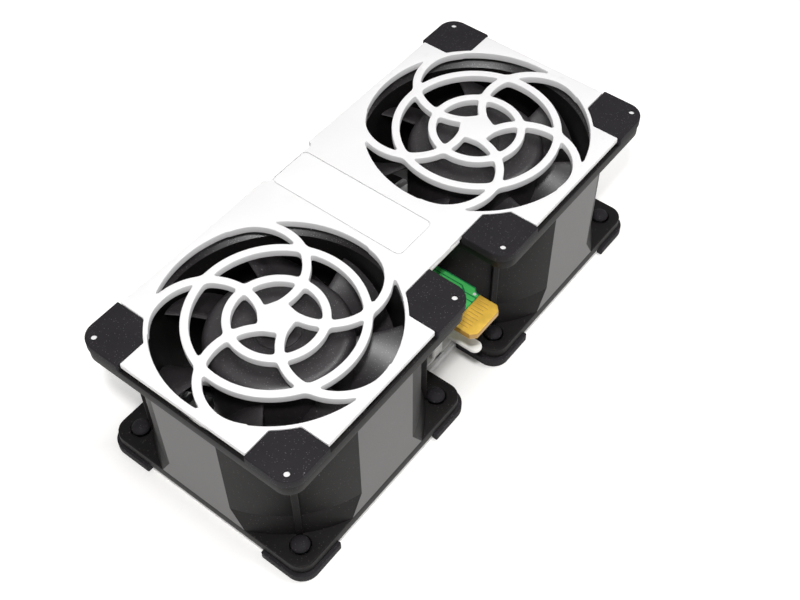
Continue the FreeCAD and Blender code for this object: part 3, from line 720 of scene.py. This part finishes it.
# The duct's lining stands this far behind the edge of the flanges' bore.
LINING_R = BORE_R + 0.03


def flange_outline(x, y, fan_x, opening):
    shape = rectangle(x, y, fan_x - HALF, fan_x + HALF, -HALF, HALF, FLANGE_CORNER_R)
    shape = np.maximum(shape, -opening(x - fan_x, y))
    for hole_x in (fan_x - HOLE_AT, fan_x + HOLE_AT):
        for hole_y in (-HOLE_AT, HOLE_AT):
            shape = np.maximum(shape, -circle(x, y, HOLE_R, hole_x, hole_y))
    return shape


def bore_opening(u, v):
    return circle(u, v, BORE_R)


def mouth_opening(u, v):
    """The intake's mouth: a wide circle, held back where the frame's sides are near."""
    square = rectangle(u, v, -MOUTH_SIDE, MOUTH_SIDE, -MOUTH_SIDE, MOUTH_SIDE)
    return np.maximum(circle(u, v, MOUTH_R), square)


def intake_mouth(shell, fan_x):
    """The bevel that leads from the mouth down into the bore."""
    rows = []
    for drop, share in MOUTH_ROWS:
        row = []
        for angle in full_turn(BORE_SEGMENTS):
            to_side = MOUTH_SIDE / max(abs(math.cos(angle)), abs(math.sin(angle)))
            radius = LINING_R + (min(MOUTH_R, to_side) + HAIR - BORE_R) * share
            row.extend(around(radius, [angle], FAN_TOP - drop, fan_x))
        rows.append(shell.add(row))
    for upper, lower in zip(rows, rows[1:]):
        shell.wall(lower, upper, finish=BEVEL)


def duct_radius(z):
    """The outside of the duct, which widens towards the exhaust."""
    low = FAN_BOTTOM + FLANGE
    return DUCT_R + FLARE * min(max((FLARE_TOP - z) / (FLARE_TOP - low), 0), 1)


def duct_shell(shell, fan_x):
    """The duct between the flanges: round corners and flat panels outside, the bore inside."""
    top = FAN_TOP - FLANGE + DUCT_LAP
    foot = FAN_BOTTOM + FLANGE
    for quarter in range(4):
        turn = quarter * math.pi / 2
        for high, low in ((top, FLARE_TOP), (FLARE_TOP, foot)):
            flat_rows = []
            round_rows = []
            for z in (high, low):
                radius = duct_radius(z)
                edge = math.acos(HALF / radius)
                span = math.pi / 2 - 2 * edge
                angles = [turn + (edge + span * k / ARC_STEPS) for k in range(ARC_STEPS + 1)]
                flat_rows.append(shell.add(around(radius, (turn - edge, turn + edge), z, fan_x)))
                round_rows.append(shell.add(around(radius, angles, z, fan_x)))
            shell.wall(*flat_rows, closed=False, flat=True, finish=PANEL)
            shell.wall(*round_rows, closed=False)
    lip = FAN_TOP - LINING_DROP
    bottom = foot - DUCT_LAP
    back = LINING_R + BORE_LINING
    lining = [(LINING_R, lip), (LINING_R, bottom), (back, bottom), (back, lip)]
    shell.turn(lining, fan_x, 0, BORE_SEGMENTS)


def rib(shell, fan_x, angle):
    """A thin upright rib on the duct's corner."""
    cosine, sine = math.cos(angle), math.sin(angle)
    turned = [(fan_x + x * cosine - y * sine, x * sine + y * cosine) for x, y in RIB_OUTLINE]
    upper = shell.add([(x, y, FAN_TOP - FLANGE + LAP) for x, y in turned])
    lower = shell.add([(x, y, FAN_BOTTOM + FLANGE - LAP) for x, y in turned])
    shell.wall(upper, lower, flat=True)
    shell.face(upper, True)
    shell.face(lower[::-1], True)


def vane(shell, fan_x, angle):
    """A stator vane in the exhaust: a thin curved blade from the motor base to the duct."""
    rows = []
    for k in range(7):
        radius = VANE_ROOT_R + (VANE_TIP_R - VANE_ROOT_R) * k / 6
        loop = []
        for side, share in [(1, s / 8) for s in range(9)] + [(-1, 1 - s / 8) for s in range(9)]:
            middle = VANE_LEAN * (share - 0.5) + VANE_BOW * math.sin(math.pi * share)
            width = VANE_THICKNESS / 2 * math.sqrt(max(1 - (2 * share - 1) ** 4, HAIR))
            turn = angle + (middle + side * width) / radius
            z = FAN_BOTTOM + VANE_RISE + VANE_HEIGHT * share
            loop.extend(around(radius, [turn], z, fan_x))
        rows.append(shell.add(loop))
    shell.loft(rows[::-1])


def build_housing(fan):
    fan_x = FAN_X[fan]
    shell = Shell()
    box = (fan_x - HALF, fan_x + HALF, -HALF, HALF)
    for bottom, opening in ((FAN_BOTTOM, bore_opening), (FAN_TOP - FLANGE, mouth_opening)):
        shape = partial(flange_outline, fan_x=fan_x, opening=opening)
        plate(shell, shape, box, bottom, bottom + FLANGE, FLANGE_ROUND, FLANGE_ROUND)
    duct_shell(shell, fan_x)
    intake_mouth(shell, fan_x)
    for quarter in range(4):
        rib(shell, fan_x, math.pi / 4 + quarter * math.pi / 2)
    shell.turn([(radius, FAN_BOTTOM + z) for radius, z in MOTOR_BASE], fan_x, 0, segments=96)
    for index in range(VANES):
        vane(shell, fan_x, math.radians((index + 0.5) * 360 / VANES))
    piece = shell.finished(f"fan_{fan}_frame", *FRAME_FINISHES)
    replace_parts(piece, f"fan_{fan}_housing")


# ---- impeller ----
def hub_profile():
    """The hub's cup, anticlockwise: inside, rim, wall, rounded shoulder, top and round groove."""
    inside = HUB_R - HUB_WALL
    rows = [(inside, HUB_BOTTOM), (HUB_R - HUB_CHAMFER, HUB_BOTTOM), (HUB_R, HUB_BOTTOM + HUB_CHAMFER)]
    for k in range(13):
        angle = math.pi / 2 * k / 12
        inset = HUB_ROUND * (1 - math.cos(angle))
        rows.append((HUB_R - inset, HUB_TOP - HUB_ROUND * (1 - math.sin(angle))))
    rows.extend((GROOVE_R + off, HUB_TOP - depth) for off, depth in GROOVE_ROWS)
    rows.extend([(0, HUB_TOP), (0, HUB_TOP - HUB_ROOF), (inside, HUB_TOP - HUB_ROOF)])
    return rows


def blade_row(radius, lead_angle, fan_x):
    """The section of one blade on a cylinder round the axis: rounded at both edges."""
    lead_angle += BLADE_SWEEP * (radius - HUB_R) / (BORE_R - HUB_R)
    middle = math.radians(lead_angle - BLADE_WRAP / 2)
    upper = []
    lower = []
    for k in range(CHORD_STEPS + 1):
        share = (1 - math.cos(math.pi * k / CHORD_STEPS)) / 2
        angle = math.radians(BLADE_WRAP) * (0.5 - share)
        outward = radius * math.cos(angle) - RISE_INNER_R
        rise = RISE_INNER + (RISE_OUTER - RISE_INNER) * outward / (BORE_R - RISE_INNER_R)
        hump = 4 * BLADE_CAMBER * rise
        z = BLADE_TOP - BLADE_EDGE_DROP - rise * share + hump * share * (1 - share)
        steep = -rise + hump * (1 - 2 * share)
        run = -math.radians(BLADE_WRAP) * radius
        length = math.hypot(run, steep)
        fullness = math.sqrt(max(1 - abs(2 * share - 1) ** BLADE_BLUNTNESS, 0))
        width = max(BLADE_THICKNESS / 2 * fullness, HAIR)
        across, up = -steep / length * width, run / length * width
        for row, way in ((upper, -1), (lower, 1)):
            turn = middle + angle + way * across / radius
            row.extend(around(radius, [turn], z + way * up, fan_x))
    return upper + lower[::-1]


def build_impeller(fan):
    fan_x = FAN_X[fan]
    shell = Shell()
    shell.turn(hub_profile(), fan_x, 0, segments=120)
    root = HUB_R - BLADE_SUNK
    tip = (IMPELLER[1].x - IMPELLER[0].x) / 2 - HAIR
    for index in range(BLADES):
        lead = LEADING_ANGLE[fan] + index * 360.0 / BLADES
        rows = [shell.add(blade_row(root + (tip - root) * k / 10, lead, fan_x)) for k in range(11)]
        shell.loft(rows)
    piece = shell.finished(f"fan_{fan}_rotor", "impeller_plastic", body=f"rotor_{fan}")
    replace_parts(piece, f"fan_{fan}_impeller")


# ---- connector board ----
TAB_HALF = 5.6
TAB_CORNER = 1.4
TAB_CHAMFER = 0.28
SHOULDER_Y = -22.3
SHOULDER_SCALE = 0.8
BOARD_CORNER_R = 0.2
# The green board ends, and the tab's bare core and its gold contacts begin, at GOLD_START.
GOLD_START = -24.3
GREEN_END = GOLD_START - 0.3
CONTACTS = 10
CONTACT_PITCH = 1.03
GAP_HALF = 0.1
GAP_FRONTS = (-28.0, -28.6)
GAP_BACK = -24.9
TRACE_GAP = 0.3
PIN_ONE = (4.9, -23.3)
TRACE_GAPS = (
    [(5.3, 6.0), (5.3, -19.4), (4.1, -20.9), (4.1, -24.6)],
    [(4.3, 6.0), (4.3, -19.9), (2.6, -22.0), (2.6, -24.6)],
    [(-5.2, 6.0), (-5.2, -20.0), (-3.4, -22.2), (-3.4, -24.6)],
    [(-1.4, 6.0), (-1.4, -18.5), (-0.4, -20.0), (-0.4, -24.6)],
)


def board_body(x, y):
    return np.maximum(board_outline(x, y), GREEN_END - y)


def copper_pour(x, y):
    """The raised copper under the green lacquer, parted by thin gaps."""
    shape = np.maximum(board_outline(x, y) + TRACE_GAP, GOLD_START + 0.05 - y)
    for places in TRACE_GAPS:
        shape = np.maximum(shape, -polyline(x, y, places, TRACE_GAP))
    return shape


def tab_body(x, y):
    return np.maximum(board_outline(x, y), y - GOLD_START)


def gold_layer(x, y):
    """The plated contacts: one field of gold with narrow gaps between the fingers."""
    shape = tab_body(x, y) + 0.12
    for index in range(CONTACTS - 1):
        middle = (index - (CONTACTS - 2) / 2) * CONTACT_PITCH
        front = GAP_FRONTS[index % 2]
        gap = rectangle(x, y, middle - GAP_HALF, middle + GAP_HALF, front, GAP_BACK, 0.08)
        shape = np.maximum(shape, -gap)
    return shape


def build_board():
    top = BOARD[1].z
    bottom = BOARD[0].z
    half = BOARD[1].x
    back = BOARD[1].y
    green = Shell()
    plate(green, board_body, (-half, half, GREEN_END, back), bottom, top, 0.06, 0.06)
    piece = green.finished("circuit_board", "board")
    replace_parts(piece, "connector_board")
    pour = Shell()
    plate(pour, copper_pour, (-half, half, GOLD_START, back), top - 0.01, top + 0.05, 0.03, 0.0, 0.3)
    pour.finished("copper_pour", "lacquered_copper")
    tab_box = (-half, half, BOARD[0].y, GOLD_START)
    tab = Shell()
    plate(tab, tab_body, tab_box, bottom - 0.01, top + 0.01, TAB_CHAMFER, TAB_CHAMFER)
    tab.finished("tab_core", "tab_core")
    gold = Shell()
    plate(gold, gold_layer, tab_box, top - HAIR, FINGERS_BOX[1].z, 0.06, 0.0, 0.2)
    plate(gold, gold_layer, tab_box, FINGERS_BOX[0].z, bottom + HAIR, 0.0, 0.06, 0.2)
    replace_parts(gold.finished("gold_contacts", "gold"), "contact_fingers")
    dot_box = (PIN_ONE[0] - 0.5, PIN_ONE[0] + 0.5, PIN_ONE[1] - 0.5, PIN_ONE[1] + 0.5)
    mark = Shell()
    dot = partial(circle, radius=0.42, centre_x=PIN_ONE[0], centre_y=PIN_ONE[1])
    plate(mark, dot, dot_box, top, top + 0.07, 0.02, 0.0, 0.15)
    mark.finished("pin_one_dot", "white_ink")


# ---- carrier and screws ----
SCREWS_Y = (-12.0, 12.0)
SHELF = 1.4
WEB_HALF = 2
GUIDE_HALF = 1.75
GUIDE_Z = (14.4, 15.6)
# Profiles of (radius, height): a peg over the bottom, and a screw over the board's face.
PEG = ((0, 0.1), (1.3, 0.1), (1.5, 0.4), (1.5, 1.8), (0, 1.8))
SCREW = ((0, -8), (0.7, -8), (1.0, -7), (1.0, 0), (2.0, 0), (2.0, 0.6), (0, 0.6))
SCREW_HEAD_R = 2.0
CROSS_REACH = 1.2
CROSS_HALF = 0.28


def build_carrier():
    """The moulding between the fans, with the guide finger under the tab."""
    shell = Shell()
    half = CARRIER[1].x
    front = -PAD_EDGE + 1.1
    back = BOARD[1].y
    shelf = BOARD[0].z

    def block(x0, x1, y0, y1, z0, z1, corner, edge):
        shape = partial(rectangle, x0=x0, x1=x1, y0=y0, y1=y1, corner=corner)
        plate(shell, shape, (x0, x1, y0, y1), z0, z1, edge, edge)

    block(-half, half, front, back, shelf - SHELF, shelf, 0.4, 0.15)
    block(-WEB_HALF, WEB_HALF, front, back, SHEET + 0.5, shelf - SHELF / 2, 0.4, 0.05)
    block(-half, half, front, back, SHEET, SHEET + SHELF, 0.4, 0.15)
    block(-GUIDE_HALF, GUIDE_HALF, CARRIER[0].y, front + 1.5, *GUIDE_Z, GUIDE_HALF - 0.01, 0.45)
    for y in SCREWS_Y:
        shell.turn(PEG, 0, y, segments=32)
    piece = shell.finished("carrier", "guide_white")
    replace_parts(piece, "board_carrier")


def screw_head(x, y, middle):
    """A round head with a cross recess."""
    down = rectangle(x, y, -CROSS_HALF, CROSS_HALF, middle - CROSS_REACH, middle + CROSS_REACH, 0.1)
    across = rectangle(x, y, -CROSS_REACH, CROSS_REACH, middle - CROSS_HALF, middle + CROSS_HALF, 0.1)
    return np.maximum(circle(x, y, SCREW_HEAD_R, 0, middle), -np.minimum(across, down))


def build_screws():
    shell = Shell()
    top = BOARD[1].z
    radius = SCREW_HEAD_R
    for middle in SCREWS_Y:
        shell.turn([(across, top + up) for across, up in SCREW], 0, middle, segments=40)
        head_box = (-radius, radius, middle - radius, middle + radius)
        head = partial(screw_head, middle=middle)
        plate(shell, head, head_box, top + 0.55, top + 1.3, 0.3, 0.0, 0.15)
    piece = shell.finished("screws", "screw")
    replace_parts(piece, "board_screws")


# ---- materials ----
BLACK = (0, 0, 0)
WHITE = (1, 1, 1)
# The places of a mix node's sockets for colours.
FIRST_COLOUR = 6
SECOND_COLOUR = 7
MIXED_COLOUR = 2
# How deep the grain is, and how much brighter a coarse speck is than a fine one.
PLASTIC_GRAIN = 0.02
METAL_GRAIN = 0.01
COARSE_GAIN = 1.8


def new_material(name, colour, roughness, metallic=0.0, specular=0.5):
    material = bpy.data.materials.new(name)
    material.use_nodes = True
    shader = material.node_tree.nodes["Principled BSDF"]
    shader.inputs["Base Color"].default_value = (*colour, 1.0)
    shader.inputs["Roughness"].default_value = roughness
    shader.inputs["Metallic"].default_value = metallic
    shader.inputs["Specular IOR Level"].default_value = specular
    return material, shader


def feed(owner, socket, value):
    """Gives a socket of a material's or the world's nodes a value or another node's output."""
    if isinstance(value, bpy.types.NodeSocket):
        owner.node_tree.links.new(value, socket)
    else:
        socket.default_value = value


def node(owner, kind, **inputs):
    made = owner.node_tree.nodes.new(kind)
    for name, value in inputs.items():
        feed(owner, made.inputs[name], value)
    return made


def arithmetic(owner, operation, first, second):
    made = node(owner, "ShaderNodeMath")
    made.operation = operation
    feed(owner, made.inputs[0], first)
    feed(owner, made.inputs[1], second)
    return made.outputs[0]


def object_coordinates(material):
    return node(material, "ShaderNodeTexCoord").outputs["Object"]


def noise(material, size_mm, detail):
    made = node(
        material,
        "ShaderNodeTexNoise",
        Vector=object_coordinates(material),
        Scale=1 / (size_mm * MM),
        Detail=detail,
        Roughness=0.55,
    )
    return made.outputs["Fac"]


def ramp(material, source, low, high, low_colour, high_colour):
    made = node(material, "ShaderNodeValToRGB", Fac=source)
    for stop, place, colour in zip(made.color_ramp.elements, (low, high), (low_colour, high_colour)):
        stop.position = place
        stop.color = (*colour, 1.0)
    return made.outputs["Color"]


def bump(material, shader, height, strength, distance_mm):
    distance = distance_mm * MM
    made = node(material, "ShaderNodeBump", Height=height, Strength=strength, Distance=distance)
    feed(material, shader.inputs["Normal"], made.outputs["Normal"])


def shaded(material, colour, shade, size_mm):
    """The colour, darker by this shade in soft clouds."""
    darker = tuple(channel * shade for channel in colour)
    return ramp(material, noise(material, size_mm, 4.0), 0.35, 0.7, darker, colour)


def specks(material, spacing_mm, radius, share):
    """A mask of small round specks: each cell of the pattern has one, and only some are kept."""
    place = object_coordinates(material)
    cells = node(material, "ShaderNodeTexVoronoi", Vector=place, Scale=1 / (spacing_mm * MM))
    spot = ramp(material, cells.outputs["Distance"], radius * 0.5, radius, WHITE, BLACK)
    parts = node(material, "ShaderNodeSeparateColor", Color=cells.outputs["Color"])
    least = 1 - share
    kept = ramp(material, parts.outputs["Red"], least, min(least + 0.15, 1), BLACK, WHITE)
    return arithmetic(material, "MULTIPLY", spot, kept)


def mixed(material, mask, colour, other):
    """The colour where the mask is dark and the other colour where it is bright."""
    made = node(material, "ShaderNodeMix", Factor=mask)
    made.data_type = "RGBA"
    feed(material, made.inputs[FIRST_COLOUR], colour)
    feed(material, made.inputs[SECOND_COLOUR], (*other, 1.0))
    return made.outputs[MIXED_COLOUR]


def moulded_plastic(name, colour, shade, roughness, grain_mm, grain):
    """Matt moulded plastic: a slightly uneven colour and a fine spark-eroded grain."""
    material, shader = new_material(name, colour, roughness)
    feed(material, shader.inputs["Base Color"], shaded(material, colour, shade, 12))
    bump(material, shader, noise(material, grain_mm, 2.0), grain, PLASTIC_GRAIN)
    return material


def plastic_with_dust_and_highlight(name, colour, roughness, specular, grain, dust_and_highlight, share):
    """Black plastic or rubber with moulding grain and fine pale specks: dust, and on the intake bevel
    partly a painted highlight.
    """
    material, shader = new_material(name, colour, roughness, 0.0, specular)
    plain = shaded(material, colour, 0.8, 9)
    fine = mixed(material, specks(material, 0.42, 0.24, share), plain, dust_and_highlight)
    bright_dust_and_highlight = tuple(COARSE_GAIN * value for value in dust_and_highlight)
    coarse = mixed(material, specks(material, 2.6, 0.07, share * 0.5), fine, bright_dust_and_highlight)
    feed(material, shader.inputs["Base Color"], coarse)
    bump(material, shader, noise(material, 0.22, 3.0), grain, PLASTIC_GRAIN)
    return material


def plain_metal(name, colour, roughness, metallic=1.0):
    material, shader = new_material(name, colour, roughness, metallic)
    feed(material, shader.inputs["Base Color"], shaded(material, colour, 0.85, 2))
    bump(material, shader, noise(material, 0.3, 2.0), 0.1, METAL_GRAIN)
    return material


MATERIALS = {
    "guard_plastic": moulded_plastic("guard_white", (0.85, 0.843, 0.845), 0.985, 0.5, 0.25, 0.15),
    "guide_white": moulded_plastic("guide_white", (0.9, 0.89, 0.87), 0.975, 0.4, 0.25, 0.1),
    "label": moulded_plastic("label_white", (0.88, 0.88, 0.88), 0.99, 0.35, 0.6, 0.05),
    "isolator": plastic_with_dust_and_highlight(
        "isolator_rubber", (0.0185, 0.0165, 0.0195), 0.7, 0.2,
        grain=0.3, dust_and_highlight=(0.11, 0.103, 0.115), share=0.45,
    ),
    "fan_plastic": plastic_with_dust_and_highlight(
        "fan_black", (0.011, 0.0098, 0.0098), 0.5, 0.14,
        grain=0.2, dust_and_highlight=(0.1, 0.094, 0.09), share=0.25,
    ),
    "smooth_panel": plastic_with_dust_and_highlight(
        "panel_black", (0.016, 0.0132, 0.0142), 0.3, 0.58,
        grain=0.06, dust_and_highlight=(0.1, 0.092, 0.096), share=0.2,
    ),
    # The intake bevel's brighter, denser pale specks are partly dust and partly a painted highlight of
    # the lip.
    "mouth_bevel": plastic_with_dust_and_highlight(
        "mouth_black_painted_highlight", (0.026, 0.023, 0.025), 0.4, 0.8,
        grain=0.8, dust_and_highlight=(0.32, 0.3, 0.31), share=0.6,
    ),
    "impeller_plastic": plastic_with_dust_and_highlight(
        "rotor_black", (0.03, 0.0265, 0.029), 0.42, 0.7,
        grain=0.5, dust_and_highlight=(0.18, 0.17, 0.178), share=0.5,
    ),
    "board": moulded_plastic("board_green", (0.01, 0.20, 0.07), 0.85, 0.3, 0.4, 0.05),
    "lacquered_copper": moulded_plastic("lacquered_copper", (0.09, 0.62, 0.15), 0.85, 0.25, 0.4, 0.05),
    "tab_core": moulded_plastic("tab_core", (0.60, 0.34, 0.07), 0.8, 0.4, 0.4, 0.1),
    "gold": plain_metal("contact_gold", (0.88, 0.55, 0.075), 0.42, 0.35),
    "white_ink": moulded_plastic("white_ink", (0.8, 0.8, 0.8), 0.95, 0.5, 0.3, 0.05),
    "screw": plain_metal("screw_zinc", (0.6, 0.6, 0.6), 0.35),
    "rotor_steel": plain_metal("rotor_steel", (0.45, 0.45, 0.46), 0.4),
    "magnet": moulded_plastic("magnet_ferrite", (0.06, 0.055, 0.055), 0.8, 0.6, 0.3, 0.2),
    "shaft_steel": plain_metal("shaft_steel", (0.7, 0.7, 0.71), 0.25),
    "tube_brass": plain_metal("tube_brass", (0.75, 0.55, 0.25), 0.35),
    "bearing_steel": plain_metal("bearing_steel", (0.72, 0.72, 0.74), 0.22),
    "lamination": plain_metal("lamination_steel", (0.35, 0.35, 0.37), 0.45),
    "copper": plain_metal("copper_wire", (0.7, 0.33, 0.15), 0.4),
    "insulator": moulded_plastic("insulator_nylon", (0.75, 0.72, 0.62), 0.9, 0.5, 0.3, 0.1),
    "motor_board": moulded_plastic("motor_board_green", (0.02, 0.22, 0.08), 0.8, 0.3, 0.4, 0.05),
}


def finish_cad_nodes():
    """Every CAD node that stays in view takes its slot's procedural material."""
    slots = {part["node"]: part["material_slot"] for part in frame["record"]["subparts"]}
    for name, piece in frame["nodes"].items():
        piece.data.materials.clear()
        piece.data.materials.append(MATERIALS[slots[name]])


# ---- stage, lights and camera ----
# What is seen of the floor glows by NEAR_GLOW from OVER_MM outside the line that lies UNDER the
# plates' edges, and by FAR_GLOW more far away. The lamps light the floor too.
NEAR_GLOW = 0.3
FAR_GLOW = 0.7
UNDER = 8
OVER_MM = 14
FAR_MM = 600
WORLD_LIGHT = 0.35
FLOOR_SIZE = 3.0


def rising(material, distance, over_mm):
    """Goes from 0 to 1 over this many millimetres."""
    share = arithmetic(material, "MULTIPLY", distance, 1 / (over_mm * MM))
    return arithmetic(material, "MINIMUM", arithmetic(material, "MAXIMUM", share, 0), 1)


def floor_material():
    """A pale floor. What is seen of it is white, save where it lies deep under the object."""
    material, shader = new_material("stage_floor", (0.9, 0.89, 0.87), 0.9)
    path = node(material, "ShaderNodeLightPath").outputs
    seen = arithmetic(material, "MAXIMUM", path["Is Camera Ray"], path["Is Glossy Ray"])
    place = node(material, "ShaderNodeSeparateXYZ", Vector=object_coordinates(material)).outputs
    past_x, past_y = (
        arithmetic(material, "SUBTRACT", arithmetic(material, "ABSOLUTE", place[axis], 0), reach)
        for axis, reach in (("X", (PLATE_X - UNDER) * MM), ("Y", (PLATE_Y - UNDER) * MM))
    )
    outside = arithmetic(material, "MAXIMUM", past_x, past_y)
    near = arithmetic(material, "MULTIPLY", rising(material, outside, OVER_MM), NEAR_GLOW)
    far = arithmetic(material, "MULTIPLY", rising(material, outside, FAR_MM), FAR_GLOW)
    glow = node(material, "ShaderNodeEmission", Strength=arithmetic(material, "ADD", near, far))
    both = node(material, "ShaderNodeAddShader")
    feed(material, both.inputs[0], shader.outputs["BSDF"])
    feed(material, both.inputs[1], glow.outputs["Emission"])
    chosen = node(material, "ShaderNodeMixShader", Fac=seen)
    feed(material, chosen.inputs[1], shader.outputs["BSDF"])
    feed(material, chosen.inputs[2], both.outputs[0])
    result = material.node_tree.nodes["Material Output"]
    feed(material, result.inputs["Surface"], chosen.outputs[0])
    return material


def build_stage():
    """The floor, and a plain white world that lights the object only a little."""
    size = FLOOR_SIZE
    corners = [(-size, -size, 0), (size, -size, 0), (size, size, 0), (-size, size, 0)]
    mesh = bpy.data.meshes.new("stage_floor")
    mesh.from_pydata(corners, [], [(0, 1, 2, 3)])
    floor = bpy.data.objects.new("stage_floor", mesh)
    floor.data.materials.append(floor_material())
    bpy.context.scene.collection.objects.link(floor)
    world = bpy.data.worlds.new("stage_world")
    world.use_nodes = True
    bpy.context.scene.world = world
    background = world.node_tree.nodes["Background"]
    background.inputs["Color"].default_value = (*WHITE, 1)
    seen = node(world, "ShaderNodeLightPath").outputs["Is Camera Ray"]
    extra = arithmetic(world, "MULTIPLY", seen, 1 - WORLD_LIGHT)
    feed(world, background.inputs["Strength"], arithmetic(world, "ADD", extra, WORLD_LIGHT))


def add_area_light(name, position, target, size, power):
    """A round lamp at a position in metres, turned to its target."""
    data = bpy.data.lights.new(name, "AREA")
    data.shape = "DISK"
    data.size = size
    data.energy = power
    lamp = bpy.data.objects.new(name, data)
    lamp.location = position
    direction = Vector(target) - Vector(position)
    lamp.rotation_euler = direction.to_track_quat("-Z", "Y").to_euler()
    bpy.context.scene.collection.objects.link(lamp)


def build_lights():
    middle = (0, 0, HEIGHT / 2 * MM)
    add_area_light("overhead", (0.05, 0.02, 0.85), middle, 0.5, 0.94)
    add_area_light("window", (0.27, -0.22, 0.66), middle, 0.2, 1.45)
    add_area_light("flash", (-0.16, -0.122, 0.372), middle, 0.03, 0.86)


def build_camera():
    """The view off the front left corner, looking down. Its places are in metres."""
    back = Vector((-0.48611, -0.38447, 0.78478))
    right = Vector((0.614195, -0.789130, -0.006152))
    up = back.cross(right)
    target = Vector((-0.016944, -0.018054, 0.043))
    distance = 0.264735
    shift_right = 0.0001
    shift_up = -0.0002
    data = bpy.data.cameras.new("photo_camera")
    data.lens = 54.67
    data.sensor_width = 36.0
    camera = bpy.data.objects.new("photo_camera", data)
    basis = Matrix((right, up, back)).transposed().to_4x4()
    place = target + back * distance + right * shift_right + up * shift_up
    camera.matrix_world = Matrix.Translation(place) @ basis
    bpy.context.scene.collection.objects.link(camera)
    bpy.context.scene.camera = camera


finish_cad_nodes()
for plate_side in ("top", "bottom"):
    build_guard_plate(plate_side)
build_label()
build_isolators()
for fan_name in FAN_X:
    build_housing(fan_name)
    build_impeller(fan_name)
build_board()
build_carrier()
build_screws()
build_stage()
build_lights()
build_camera()
bpy.context.scene.view_settings.view_transform = "Standard"
